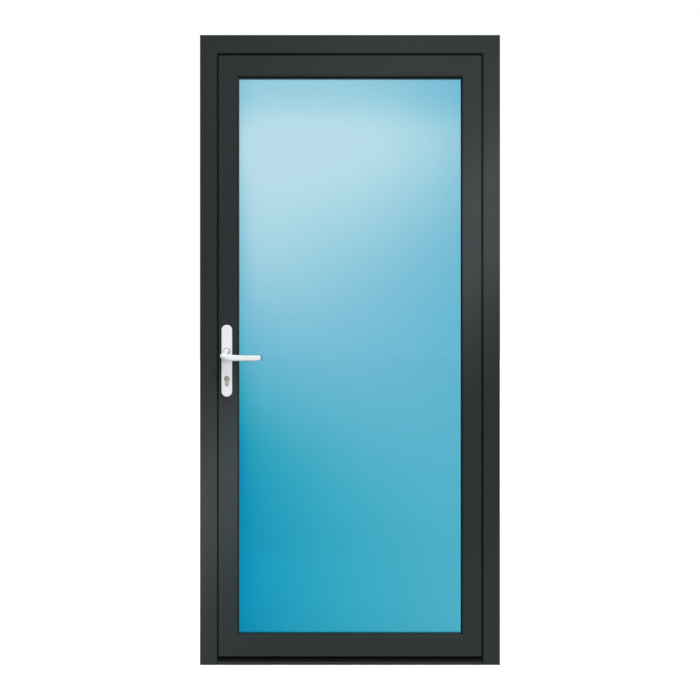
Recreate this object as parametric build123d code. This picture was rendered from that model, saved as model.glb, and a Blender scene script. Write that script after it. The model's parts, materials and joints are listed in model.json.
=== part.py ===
"""Glazed entrance door in its frame: a thermally broken aluminium frame with a low threshold, and
one inward-opening leaf with double glazing, a lever handle set and a three-point lock.

Frame of reference, in millimetres: +X to the right seen from outside, +Y inwards, +Z up. The origin is
on the floor, midway between the jambs and midway through the depth of the profiles. The outside face of
frame and leaf lies at y = -profile_depth / 2 and the inside face at y = +profile_depth / 2.
"""

import os
from math import cos, radians, tan

from build123d import *

# Overall size and what shows of each profile from outside
overall_width = 1000.0
overall_height = 2100.0
profile_depth = 70.0
jamb_face = 58.0
head_face = 63.0
side_gap = 4.5  # joint between jamb and leaf, seen from outside
head_gap = 5.0  # joint between head and leaf
leaf_bottom = 29.0  # underside of the leaf above the floor
stile_face = 67.0  # leaf edge to the sight line of the glass
rail_face = 77.0
leaf_overlap = 18.0  # how far the inner half of the leaf reaches behind the frame's lip
rebate_gap = 6.0  # between the leaf's edge and the frame's inner half

# Walls and depths of the hollow profiles
wall = 2.0
rear_wall = 4.0  # wall that holds the thermal bars
frame_outer_depth = 22.0  # depth of the frame's outer shell
frame_inner_depth = 22.0
leaf_outer_depth = 30.0
leaf_inner_depth = 20.0
flange_thickness = 4.0  # the leaf's stop flange
lip_round = 8.0  # rounding on the frame's inner front edge
lip_nose = 6.0  # solid part of the lip behind that rounding
lip_rib = 20.0  # rib between the two chambers of the frame's outer shell, from the lip
bar_thickness = 3.0
bar_foot = 2.0  # how deep a thermal bar sits in each shell
frame_bar_inset = 4.0  # wall-side thermal bar, from the frame's outer edge

# Glazing
glazing_lip = 4.5  # thickness of the lip in front of the glass
lip_bevel_depth = 3.0
stile_bevel = 2.0
rail_bevel = 10.0
gasket_sight = 3.5  # gasket that shows inside the glazing lip
gasket_cover = 9.0  # width of the glazing gasket from the sight line
gasket_recess = 2.5  # gasket front behind the leaf's face
glazing_gasket = 4.0  # thickness between lip and glass
rebate_reach = 22.0  # sight line to the wall of the glazing rebate
glass_cover = 15.0  # sight line to the edge of the glass
pane_thickness = 6.0
cavity = 16.0
spacer_inset = 4.0  # edge of glass to the spacer, filled by the edge seal
spacer_width = 7.0
bead_wall = 1.8
bead_chamfer = 1.2
block_length = 100.0
block_place = 0.6  # setting blocks on the rails, as a share of the glass's half width

# Threshold and seals
sill_height = 11.7  # front of the threshold
sill_slope = 1.2  # fall of the outer sill towards its front
core_height = 20.0
core_top_wall = 3.0
ramp_height = 12.0  # back edge of the inner sill
ramp_length = 10.0
end_gap = 0.3  # threshold to jambs, and seals to what they meet
stop_seal_width = 4.0
frame_seal_reach = 8.0  # lip to the frame gasket
leaf_seal_inset = 8.5  # flange's edge to the leaf gasket, which lies nearer the lip
seal_groove = 2.0
flange_groove = 1.0  # the leaf gasket's groove
seal_apron_rise = 2.0  # front apron above the fins' lower edge
fin_thickness = 3.0

# Hinges
hinge_end_distance = 201.0  # middle of the end hinges from the leaf's bottom and top edge
hinge_length = 100.0
leaf_knuckle_length = 44.0
knuckle_gap = 0.5
knuckle_notch = 0.6  # between a knuckle and the other half's plate
knuckle_radius = 11.0
pin_radius = 6.0
pin_clearance = 0.05
axis_stand_off = 13.0  # hinge axis in front of the inside face
hinge_plate_width = 33.0
hinge_plate_thickness = 4.5
hinge_plate_round = 4.0
pin_head_radius = 9.9
pin_head_thickness = 2.5
hinge_plate_edge = 0.5  # plate edge back from the profile's edge
hinge_screw_x = 18.2  # from the profile's edge
hinge_screw_rise = 36.0  # from the hinge's middle
hinge_screw_length = 16.0

# Lock and handles
spindle_height = 1046.0
backset = 45.0
cylinder_spacing = 92.0  # spindle to cylinder
lock_plane = 5.0  # y of the middle of the lock
lock_thickness = 16.0
lock_wall = 1.5
case_play = 0.3  # between a case and the thermal bar
mortise_clearance = 0.5  # round what goes through the lock stile
lock_top_reach = 80.0  # case above the spindle
lock_bottom_reach = 70.0  # case below the cylinder
lock_rear_reach = 14.0  # case behind the spindle
faceplate_thickness = 3.0
faceplate_low_distance = 201.0  # leaf's bottom edge to the faceplate
faceplate_high_distance = 182.0  # faceplate to the leaf's top edge
faceplate_screw_margin = 14.0  # end screws from the faceplate's ends
faceplate_screw_clear = 16.0  # nearest screws from the main case
faceplate_screw_length = 12.0
side_bolt_distance = 70.0  # faceplate's ends to the upper and lower bolt
side_case_half_height = 32.0
side_case_depth = 40.0
bolt_recess = 0.5  # bolts behind the faceplate's front at rest
side_bolt_radius = 6.0
side_bolt_length = 34.0
side_bolt_chamfer = 1.5
deadbolt_height = 30.0
deadbolt_thickness = 12.0
deadbolt_length = 34.0
deadbolt_chamfer = 1.0
deadbolt_drop = 46.0  # below the spindle
latch_rise = 30.0  # above the spindle
latch_height = 24.0
latch_thickness = 11.0
latch_reach = 12.5  # out of the faceplate
latch_head_length = 17.0  # inside the faceplate
latch_nose = 3.0  # flat left at the latch's tip
latch_tail_thickness = 6.0
tail_clearance = 1.5  # follower's arm to the latch's tail
bolt_clearance = 0.6
square = 8.0  # spindle
square_clearance = 0.05
follower_radius = 10.0
follower_arm = 22.0
follower_arm_width = 5.0
follower_arm_step = 2.0  # arm thinner than the hub on each side
follower_play = 0.4  # between the hub and the case's sides
follower_room = 0.5  # round the hub in the case's sides
lug_play = 0.5  # follower's arm to the latch's lug at rest
lug_overlap = 4.5  # how far the lug hangs below the arm's tip circle
lug_width = 4.0
lever_travel = 35.0  # degrees
rod_width = 10.0
rod_thickness = 2.0
rod_inset = 14.0  # faceplate front to the rods
rod_reach = 22.0  # each rod's lower end inside its case at rest
rod_lead = 7.3  # each rod's upper end inside its case at rest
rod_play = 0.3

# Profile cylinder
cylinder_radius = 8.5
cylinder_tail = 10.0
cylinder_drop = 24.5  # cylinder axis to the bottom of the tail
cylinder_stand_out = 1.5
cylinder_hole_clearance = 0.9
cylinder_edge = 0.6  # chamfer on the ends of the cylinder's body
plug_edge = 0.5  # chamfer on the outer ends of the plugs
plug_radius = 6.4
plug_clearance = 0.06
cam_thickness = 9.0
cam_reach = 11.8
cam_radius = 8.0  # ring of the cam
cam_nose_width = 5.0
cam_gap = 0.2  # between the cam and each plug
cam_side_play = 0.25  # between the cam and the cylinder's body
cam_floor_play = 0.4  # under the cam's nose
keyway_width = 2.4
keyway_height = 8.5
keyway_rise = 3.5  # top of the keyway above the plug's centre
keyway_depth = 14.0

# Handle set
plate_width = 36.0
plate_height = 240.0
plate_thickness = 9.0
plate_round = 3.0
plate_centre_drop = 32.0  # plate centre below the spindle
journal_radius = 8.95
journal_hole = 9.0
journal_length = 3.0  # behind the plate, in the leaf's wall
neck_radius = 9.6
neck_recess_radius = 11.2  # round recess in the plate's face, which the neck stands in
neck_recess_depth = 2.5
neck_stand_off = 0.3  # between the neck and the recess's floor
collar_length = 15.0  # straight part of the neck
spindle_reach = 12.0  # spindle inside each lever, from the plate's face
elbow_radius = 9.4
elbow_shift = 11.8  # away from the glass
elbow_drop = 16.0
lever_stand_off = 50.0  # grip centre in front of the leaf's face
grip_length = 114.0  # spindle axis to the tip
grip_rounding = 0.46  # corner radius as a share of a section's smaller side
neck_lean = 0.45  # share of the lean reached half way along the neck
neck_taper = 0.2  # end of the neck thinner than the elbow's ball
# Grip sections: share of the way from the elbow to the tip, drop below the spindle, height, depth,
# and how far towards the leaf
grip_shape = (
    (0.0, 16.0, 18.2, 15.8, 0.0),
    (0.11, 19.8, 20.4, 13.8, 0.0),
    (0.25, 22.1, 20.8, 12.6, 0.0),
    (0.41, 22.9, 19.6, 12.1, 0.0),
    (0.57, 23.2, 18.8, 12.0, 0.1),
    (0.73, 23.2, 18.6, 11.8, 0.3),
    (0.87, 23.0, 18.2, 11.2, 0.6),
    (0.95, 22.6, 17.2, 10.2, 0.9),
    (0.985, 22.1, 15.0, 8.4, 1.1),
    (1.0, 21.8, 12.0, 5.8, 1.2),
)
tip_round = 1.2
spindle_end_play = 0.5
plate_screw_spacing = 200.0
plate_screw_radius = 2.5
plate_screw_head = 4.6
plate_screw_head_height = 2.4
plate_screw_sink = 0.6  # head below the plate's face
plate_screw_reach = 5.5  # shank inside the outer plate
plate_screw_slot = (1.0, 3.0, 1.2)  # width, half length and depth of the cross slots
socket_floor = 3.0  # outer plate in front of the screw sockets
head_room = 3.0  # depth of the screw heads' room in the inner plate

# Strike plates
strike_thickness = 3.0
main_strike_top_reach = 79.0  # strike plate above the spindle
main_strike_bottom_reach = 96.0  # strike plate below the spindle
side_strike_half_height = 40.0
strike_side_gap = 0.2
strike_window = 1.5  # clearance round the bolts
strike_screw_margin = 11.0
strike_screw_length = 11.0
latch_channel = 1.6  # clearance of the latch's way in through the jamb

# Screws and wall fixings
screw_radius = 2.0
screw_head_radius = 4.0
screw_head_depth = 2.2
screw_slot_width = 0.9
screw_slot_depth = 0.8
screw_slot_share = 0.6  # half length of the slot as a share of the head's radius
screw_fit = 0.05
anchor_radius = 5.25
anchor_access_radius = 9.0
anchor_low_distance = 320.0  # floor to the lowest anchor
anchor_high_distance = 340.0  # highest anchor to the frame's top
anchor_count = 4
cleat_arm_length = 90.0
cleat_fit = 0.3

# Places that follow from the sizes above
outside = -profile_depth / 2
inside = profile_depth / 2
half_width = overall_width / 2
lip_half = half_width - jamb_face
lip_top = overall_height - head_face
leaf_half = lip_half - side_gap
leaf_top = lip_top - head_gap
edge_half = leaf_half + leaf_overlap
edge_top = leaf_top + leaf_overlap
frame_inner_reach = leaf_overlap - side_gap + rebate_gap  # lip to the frame's inner shell
frame_bar_reach = frame_inner_reach + strike_thickness
sight_half = leaf_half - stile_face
sight_top = leaf_top - rail_face
sight_bottom = leaf_bottom + rail_face
frame_outer_back = outside + frame_outer_depth
frame_inner_front = inside - frame_inner_depth
leaf_outer_back = outside + leaf_outer_depth
leaf_inner_front = inside - leaf_inner_depth
flange_front = leaf_outer_back - flange_thickness
glass_front = outside + glazing_lip + glazing_gasket
inner_pane_front = glass_front + pane_thickness + cavity
glass_back = inner_pane_front + pane_thickness
bead_front = glass_back + glazing_gasket
spindle_x = -edge_half + backset
cylinder_height = spindle_height - cylinder_spacing
hinge_x = edge_half + rebate_gap / 2
hinge_y = inside + axis_stand_off
faceplate_front = -edge_half
faceplate_back = faceplate_front + faceplate_thickness
lock_rear = spindle_x + lock_rear_reach
lock_low = lock_plane - lock_thickness / 2
lock_high = lock_plane + lock_thickness / 2
lock_top = spindle_height + lock_top_reach
lock_bottom = cylinder_height - lock_bottom_reach
strike_face = -(lip_half + frame_inner_reach)
latch_z = spindle_height + latch_rise
deadbolt_z = spindle_height - deadbolt_drop
plate_z = spindle_height - plate_centre_drop
hinge_low = leaf_bottom + hinge_end_distance
hinge_high = leaf_top - hinge_end_distance
hinge_heights = (hinge_low, (hinge_low + hinge_high) / 2, hinge_high)
faceplate_ends = (leaf_bottom + faceplate_low_distance, leaf_top - faceplate_high_distance)
side_bolt_heights = (faceplate_ends[0] + side_bolt_distance, faceplate_ends[1] - side_bolt_distance)
main_strike_ends = (
    spindle_height - main_strike_bottom_reach,
    spindle_height + main_strike_top_reach,
)
anchor_span = overall_height - anchor_low_distance - anchor_high_distance
anchor_spacing = anchor_span / (anchor_count - 1)
anchor_heights = [anchor_low_distance + n * anchor_spacing for n in range(anchor_count)]
into_minus_y = Rot(-90, 0, 0)  # a screw whose head faces +Y
into_minus_x = Rot(0, 90, 0)  # a screw whose head faces +X
into_plus_x = Rot(0, -90, 0)  # a screw whose head faces -X
reach = 3 * profile_depth  # longer than anything a cut goes through in Y
past = 1.0  # how far a cut runs past the piece it cuts
mitre_stretch = 1.5  # how far a mitre cut runs past both corners, in widths of the band
touch = 0.01  # closeness that counts as lying on a face


def block(x0, x1, y0, y1, z0, z1):
    """A box between two corners."""
    centre = Pos((x0 + x1) / 2, (y0 + y1) / 2, (z0 + z1) / 2)
    return centre * Box(abs(x1 - x0), abs(y1 - y0), abs(z1 - z0))


def rod_y(radius, x, z, y0, y1):
    """A cylinder along Y."""
    return Pos(x, (y0 + y1) / 2, z) * Rot(90, 0, 0) * Cylinder(radius, y1 - y0)


def rod_x(radius, y, z, x0, x1):
    """A cylinder along X."""
    return Pos((x0 + x1) / 2, y, z) * Rot(0, 90, 0) * Cylinder(radius, x1 - x0)


def rod_z(radius, x, y, z0, z1):
    """A cylinder along Z."""
    return Pos(x, y, (z0 + z1) / 2) * Cylinder(radius, z1 - z0)


def prism(points, y0, y1):
    """A polygon in X and Z, drawn out along Y."""
    outline = make_face(Polyline([(x, y0, z) for x, z in points], close=True))
    return extrude(outline, amount=y1 - y0, dir=(0, 1, 0))


def ring(outer, hole, y0, y1):
    """A rectangular ring. Outer and hole are (half width, bottom, top)."""
    body = block(-outer[0], outer[0], y0, y1, outer[1], outer[2])
    return body - block(-hole[0], hole[0], y0 - past, y1 + past, hole[1], hole[2])


def tapered(rect_a, y_a, rect_b, y_b):
    """A solid with flat sides between a rectangle at each of two depths."""
    faces = [
        make_face(Polyline([(-w, y, low), (w, y, low), (w, y, high), (-w, y, high)], close=True))
        for (w, low, high), y in ((rect_a, y_a), (rect_b, y_b))
    ]
    return loft(faces, ruled=True)


def from_lip(distance):
    """Frame rectangle that lies outside the lip by a distance. It is open at the floor."""
    return lip_half + distance, -past, lip_top + distance


def from_frame_edge(distance):
    """Frame rectangle that lies inside the frame's outer edge by a distance."""
    return half_width - distance, 0.0, overall_height - distance


def from_leaf_edge(distance):
    """Leaf rectangle inside the edge of the leaf's inner half."""
    return edge_half - distance, leaf_bottom + distance, edge_top - distance


def from_leaf_face(distance):
    """Leaf rectangle inside the visible edge of the leaf's outer half."""
    return leaf_half - distance, leaf_bottom + distance, leaf_top - distance


def from_sight(distance):
    """Leaf rectangle outside the sight line of the glass."""
    return sight_half + distance, sight_bottom - distance, sight_top + distance


def frame_band(outer, hole, y0, y1):
    """A U-shaped band of the frame, with legs that end on the floor."""
    return ring((outer[0], 0.0, outer[2]), hole, y0, y1)


def mitre_points(inner, outer, stretch):
    """The point on each top mitre line, stretch times as far from the inner as the outer corner."""
    return (
        inner[0] + (outer[0] - inner[0]) * stretch,
        inner[1] - (inner[1] - outer[1]) * stretch,
        inner[2] + (outer[2] - inner[2]) * stretch,
    )


def split(body, inner, outer, sides):
    """The members of a ring, cut apart along the mitre lines from inner to outer corners."""
    near = mitre_points(inner, outer, -mitre_stretch)
    far = mitre_points(inner, outer, 1 + mitre_stretch)
    outlines = {
        "left": [(-near[0], near[1]), (-far[0], far[1]), (-far[0], far[2]), (-near[0], near[2])],
        "right": [(near[0], near[1]), (far[0], far[1]), (far[0], far[2]), (near[0], near[2])],
        "top": [(-near[0], near[2]), (-far[0], far[2]), (far[0], far[2]), (near[0], near[2])],
        "bottom": [(-near[0], near[1]), (-far[0], far[1]), (far[0], far[1]), (near[0], near[1])],
    }
    return {side: body & prism(outlines[side], -reach, reach) for side in sides}


def split_frame(body, inner, outer):
    """Lock jamb, hinge jamb and head of a frame band between two rectangles. The jambs run down to
    the floor."""
    floor = -overall_height
    inner = (inner[0], floor, inner[2])
    outer = (outer[0], floor, outer[2])
    return split(body, inner, outer, ("left", "right", "top"))


def split_leaf(body, inner, outer):
    """Lock stile, hinge stile and both rails of a leaf band between two rectangles."""
    return split(body, inner, outer, ("left", "right", "top", "bottom"))


def solids_of(*shapes):
    """One compound of separate solids."""
    return Compound(children=[solid for shape in shapes for solid in shape.solids()])


def countersunk_screw(length):
    """A countersunk screw along -Z with its head's top at the origin."""
    head = Pos(0, 0, -screw_head_depth / 2) * Cone(screw_radius, screw_head_radius, screw_head_depth)
    shank = Pos(0, 0, -length / 2) * Cylinder(screw_radius, length)
    slot = Box(2 * screw_slot_share * screw_head_radius, screw_slot_width, 2 * screw_slot_depth)
    cross = Rot(0, 0, 90) * slot
    return head + shank - slot - cross


def screw_hole(length):
    """The hole that a countersunk screw sits in."""
    top = screw_head_radius + screw_fit
    bottom = screw_radius + screw_fit
    sink = Pos(0, 0, -screw_head_depth / 2) * Cone(bottom, top, screw_head_depth)
    return sink + Pos(0, 0, -length / 2) * Cylinder(bottom, length + past)


def stadium(width, height, y0, y1, x, z):
    """A plate with half-round ends, drawn out along Y."""
    outline = Plane.XZ * SlotOverall(height, width, rotation=90)
    return Pos(x, y1, z) * extrude(outline, amount=y1 - y0)


def cylinder_outline(y0, y1, grow=0.0):
    """The profile cylinder's outline: a round head and a narrower tail below it."""
    head = rod_y(cylinder_radius + grow, spindle_x, cylinder_height, y0, y1)
    half_tail = cylinder_tail / 2
    tail_centre = cylinder_height - cylinder_drop + half_tail
    tail = block(
        spindle_x - half_tail - grow, spindle_x + half_tail + grow, y0, y1, tail_centre, cylinder_height
    )
    return head + tail + rod_y(half_tail + grow, spindle_x, tail_centre, y0, y1)


def hinge_screw_places(side):
    """Screw heads on one hinge plate row: side +1 is the frame, -1 the leaf."""
    profile_edge = hinge_x + side * rebate_gap / 2
    x = profile_edge + side * hinge_screw_x
    y = inside + hinge_plate_thickness
    return [(x, y, z + s * hinge_screw_rise) for z in hinge_heights for s in (-1, 1)]


def strike_screw_places():
    """Screw heads on the three strike plates."""
    low, high = main_strike_ends
    heights = [low + strike_screw_margin, high - strike_screw_margin]
    side_rise = side_strike_half_height - strike_screw_margin
    for z in side_bolt_heights:
        heights += [z - side_rise, z + side_rise]
    return [(strike_face, 0.0, z) for z in heights]


def faceplate_screw_places():
    """Screw heads along the lock's faceplate."""
    low, high = faceplate_ends
    heights = [low + faceplate_screw_margin, high - faceplate_screw_margin]
    heights += [lock_bottom - faceplate_screw_clear, lock_top + faceplate_screw_clear]
    heights += [(low + lock_bottom) / 2, (lock_top + high) / 2]
    return [(faceplate_front, lock_plane, z) for z in heights]


def placed(shape, places, turn):
    """Copies of a shape, turned and moved to each place."""
    return [Pos(*place) * turn * shape for place in places]


def cut_all(body, cutters):
    """The body with every cutter taken away."""
    for cutter in cutters:
        body = body - cutter
    return body


def bolt_windows(x0, x1, clearance):
    """Openings for the deadbolt and the side bolts through a wall between two X values."""
    half = deadbolt_height / 2 + clearance
    thick = deadbolt_thickness / 2 + clearance
    windows = [block(x0, x1, lock_plane - thick, lock_plane + thick, deadbolt_z - half, deadbolt_z + half)]
    for z in side_bolt_heights:
        windows.append(rod_x(side_bolt_radius + clearance, lock_plane, z, x0, x1))
    return windows


def latch_window(x0, x1, y_end, clearance):
    """Opening for the latch through a wall, out to y_end."""
    half = latch_height / 2 + clearance
    low = lock_plane - latch_thickness / 2 - clearance
    return block(x0, x1, low, y_end, latch_z - half, latch_z + half)


def through_leaf(y0, y1):
    """What the handle set and the cylinder need cut through a shell of the lock stile."""
    cuts = [rod_y(journal_hole, spindle_x, spindle_height, y0, y1)]
    cuts.append(cylinder_outline(y0, y1, mortise_clearance))
    for side in (-1, 1):
        z = plate_z + side * plate_screw_spacing / 2
        cuts.append(rod_y(plate_screw_radius + mortise_clearance, spindle_x, z, y0, y1))
    return cuts


def frame_shells():
    """Outer and inner aluminium shells of the jambs and the head."""
    outer = frame_band(from_frame_edge(0), from_lip(0), outside, frame_outer_back)
    chamber_back = frame_outer_back - rear_wall
    wide = (from_frame_edge(wall), from_lip(lip_rib))
    nose = (from_lip(lip_rib - wall), from_lip(lip_nose))
    for band_outer, band_hole in (wide, nose):
        outer = outer - ring(
            (band_outer[0], -past, band_outer[2]), band_hole, outside + wall, chamber_back
        )
    outer = outer - frame_gasket_band(frame_outer_back - seal_groove, frame_outer_back)
    inner = frame_band(from_frame_edge(0), from_lip(frame_inner_reach), frame_inner_front, inside)
    room = from_frame_edge(wall)
    inner = inner - ring(
        (room[0], -past, room[2]),
        from_lip(frame_inner_reach + wall),
        frame_inner_front + rear_wall,
        inside - wall,
    )
    for bar in frame_bar_bands():
        outer = outer - bar
        inner = inner - bar
    outer_parts = split_frame(outer, from_lip(0), from_frame_edge(0))
    inner_parts = split_frame(inner, from_lip(frame_inner_reach), from_frame_edge(0))
    for side, rounding in lip_roundings().items():
        outer_parts[side] = outer_parts[side] - rounding

    anchor_y = inside - frame_inner_depth / 2
    access_depth = 2 * wall
    for side, name in ((-1, "left"), (1, "right")):
        through = sorted((0, side * half_width))
        doorway_side = side * -strike_face
        access = sorted((doorway_side - side * past, doorway_side + side * access_depth))
        cutters = [rod_x(anchor_radius, anchor_y, z, *through) for z in anchor_heights]
        cutters += [rod_x(anchor_access_radius, anchor_y, z, *access) for z in anchor_heights]
        inner_parts[name] = cut_all(inner_parts[name], cutters)
    deep = strike_face - latch_reach + rebate_gap - latch_channel
    latch_way = latch_window(deep, strike_face + past, inside + past, latch_channel)
    inner_parts["left"] = inner_parts["left"] - latch_way
    holes = placed(screw_hole(hinge_screw_length), hinge_screw_places(1), into_minus_y)
    inner_parts["right"] = cut_all(inner_parts["right"], holes)
    return outer_parts, inner_parts


def lip_roundings():
    """What the rounding on the lip's front edge takes off each frame member."""
    y0, y1 = outside - past, outside + lip_round
    over = 2 * past
    roundings = {}
    for side, name in ((-1, "left"), (1, "right")):
        x = sorted((side * (lip_half - past), side * (lip_half + lip_round)))
        keep = rod_z(lip_round, side * (lip_half + lip_round), y1, -over, overall_height + over)
        roundings[name] = block(*x, y0, y1, -past, overall_height + past) - keep
    keep = rod_x(lip_round, y1, lip_top + lip_round, -half_width - over, half_width + over)
    head_block = block(
        -half_width - past, half_width + past, y0, y1, lip_top - past, lip_top + lip_round
    )
    roundings["top"] = head_block - keep
    return roundings


def frame_gasket_band(y0, y1):
    """The stop gasket's path on the back of the frame's lip."""
    far, near = frame_gasket_rects()
    return frame_band(far, near, y0, y1)


def frame_gasket_rects():
    """Outer and inner rectangle of the stop gasket."""
    return from_lip(frame_seal_reach + stop_seal_width), from_lip(frame_seal_reach)


def frame_bar_bands():
    """The two thermal bars all round the frame, with their feet in the shells."""
    front, back = frame_outer_back - bar_foot, frame_inner_front + bar_foot
    leaf_side = frame_band(
        from_lip(frame_bar_reach + bar_thickness), from_lip(frame_bar_reach), front, back
    )
    edge = from_frame_edge(frame_bar_inset + bar_thickness)
    wall_side = frame_band(from_frame_edge(frame_bar_inset), (edge[0], -past, edge[2]), front, back)
    return leaf_side, wall_side


def frame_bars():
    """The frame's thermal bars as separate lengths, open where bolts and latch go in."""
    leaf_band, wall_band = frame_bar_bands()
    leaf_side = split_frame(leaf_band, from_lip(frame_bar_reach), from_lip(frame_bar_reach + bar_thickness))
    inset = frame_bar_inset
    wall_side = split_frame(wall_band, from_frame_edge(inset + bar_thickness), from_frame_edge(inset))
    bar_back = strike_face - 2 * strike_thickness - bar_thickness
    bar_end = frame_inner_front + bar_foot + past
    cutters = bolt_windows(bar_back, strike_face, strike_window)
    cutters.append(latch_window(bar_back, strike_face, bar_end, latch_channel))
    cutters += placed(screw_hole(strike_screw_length), strike_screw_places(), into_minus_x)
    leaf_side["left"] = cut_all(leaf_side["left"], cutters)
    return solids_of(*leaf_side.values(), *wall_side.values())


def corner_cleats(inner_rect, outer_rect, y0, y1, corners):
    """L-shaped cleats in the corners of a chamber between two rectangles."""
    body = ring(outer_rect, inner_rect, y0 + cleat_fit, y1 - cleat_fit)
    pieces = []
    for side, height in corners:
        x = sorted((side * (inner_rect[0] - cleat_arm_length), side * half_width))
        if height == "top":
            z = (inner_rect[2] - cleat_arm_length, overall_height)
        else:
            z = (0, inner_rect[1] + cleat_arm_length)
        pieces.append(body & block(*x, -reach, reach, *z))
    return pieces


def loosened(rect, amount):
    """A rectangle grown by an amount on the sides and the top, and lowered at the bottom."""
    return rect[0] + amount, rect[1] - amount, rect[2] + amount


def frame_cleats():
    """Corner cleats in the frame's two chambers."""
    top_corners = [(-1, "top"), (1, "top")]
    room = loosened(from_frame_edge(wall), -cleat_fit)
    outer = corner_cleats(
        loosened(from_lip(lip_rib), cleat_fit),
        room,
        outside + wall,
        frame_outer_back - rear_wall,
        top_corners,
    )
    inner = corner_cleats(
        loosened(from_lip(frame_inner_reach + wall), cleat_fit),
        room,
        frame_inner_front + rear_wall,
        inside - wall,
        top_corners,
    )
    return solids_of(*outer, *inner)


def frame_gasket():
    """Stop gasket on the frame's lip: a band in its groove, up to the leaf's flange."""
    body = frame_gasket_band(frame_outer_back - seal_groove, flange_front - end_gap)
    body = body - block(-half_width, half_width, -reach, reach, -past, core_height + end_gap)
    far, near = frame_gasket_rects()
    return solids_of(*split_frame(body, near, far).values())


def threshold():
    """Outer sill, core, inner sill and end blocks of the threshold."""
    outer_half = lip_half - end_gap
    inner_half = lip_half + frame_inner_reach - end_gap
    front_height = sill_height - sill_slope
    profile = [
        (outside, 0),
        (outside, front_height),
        (frame_outer_back, sill_height),
        (frame_outer_back, 0),
        (frame_outer_back - wall, 0),
        (frame_outer_back - wall, sill_height - wall),
        (outside + wall, front_height - wall),
        (outside + wall, 0),
    ]
    outline = make_face(Polyline([(-outer_half, y, z) for y, z in profile], close=True))
    outer_sill = extrude(outline, amount=2 * outer_half, dir=(1, 0, 0))
    rib_y = (outside + frame_outer_back) / 2
    outer_sill += block(-outer_half, outer_half, rib_y - wall / 2, rib_y + wall / 2, 0, sill_height - wall)

    core = block(-outer_half, outer_half, frame_outer_back, frame_inner_front, 0, core_height)
    pocket = (frame_inner_front - frame_outer_back) / 2 - 2 * wall
    for side in (-1, 1):
        y = sorted((side * wall / 2, side * (wall / 2 + pocket)))
        core -= block(-outer_half - past, outer_half + past, *y, wall, core_height - core_top_wall)

    inner_profile = [
        (frame_inner_front, 0),
        (frame_inner_front, core_height),
        (inside - ramp_length, core_height),
        (inside, ramp_height),
        (inside, 0),
        (inside - wall, 0),
        (inside - wall, ramp_height - wall),
        (inside - ramp_length - wall / 2, core_height - wall),
        (frame_inner_front + wall, core_height - wall),
        (frame_inner_front + wall, 0),
    ]
    outline = make_face(Polyline([(-inner_half, y, z) for y, z in inner_profile], close=True))
    inner_sill = extrude(outline, amount=2 * inner_half, dir=(1, 0, 0))

    blocks = []
    for side in (-1, 1):
        x = sorted((side * outer_half, side * (lip_half + frame_bar_reach - end_gap)))
        blocks.append(block(*x, frame_outer_back, frame_inner_front, 0, core_height))
    return outer_sill, core, inner_sill, solids_of(*blocks)


def strike_plate(low, high, cutters):
    """A flat strike plate in the recess of the lock jamb."""
    y0 = frame_outer_back + strike_side_gap
    y1 = frame_inner_front - strike_side_gap
    plate = block(strike_face - strike_thickness, strike_face, y0, y1, low, high)
    return cut_all(plate, cutters)


def strike_plates():
    """Main, upper and lower strike plates. The main one is open towards the room, so that the leaf
    can be pushed open while the latch is out, as with a released day latch."""
    behind = strike_face - strike_thickness
    holes = placed(screw_hole(strike_screw_length), strike_screw_places(), into_minus_x)
    windows = bolt_windows(behind - past, strike_face + past, strike_window)
    latch_cut = latch_window(behind - past, strike_face + past, inside, latch_channel)
    main = strike_plate(*main_strike_ends, holes + windows + [latch_cut])
    plates = [
        strike_plate(z - side_strike_half_height, z + side_strike_half_height, holes + windows)
        for z in side_bolt_heights
    ]
    return main, plates[1], plates[0]


def hinge_plate(side, knuckle_spans, notch_spans):
    """One half of a barrel hinge about z = 0: a screwed plate with its knuckles, cut back where the
    other half's knuckles turn. Side +1 is the frame's half, -1 the leaf's."""
    near = hinge_x + side * (rebate_gap / 2 + hinge_plate_edge)
    far = near + side * hinge_plate_width
    half = hinge_length / 2
    plate = block(*sorted((near, far)), inside, inside + hinge_plate_thickness, -half, half)
    plate = fillet(plate.edges().filter_by(Axis.Y), hinge_plate_round)
    for low, high in notch_spans:
        plate = plate - rod_z(knuckle_radius + knuckle_notch, hinge_x, hinge_y, low, high)
    bore = pin_radius + (pin_clearance if side < 0 else screw_fit)
    web_end = hinge_x + side * knuckle_radius
    for low, high in knuckle_spans:
        barrel = rod_z(knuckle_radius, hinge_x, hinge_y, low, high)
        web = block(*sorted((near, web_end)), inside, hinge_y, low, high)
        plate = plate + barrel + web
    return plate - rod_z(bore, hinge_x, hinge_y, -half - past, half + past)


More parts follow.
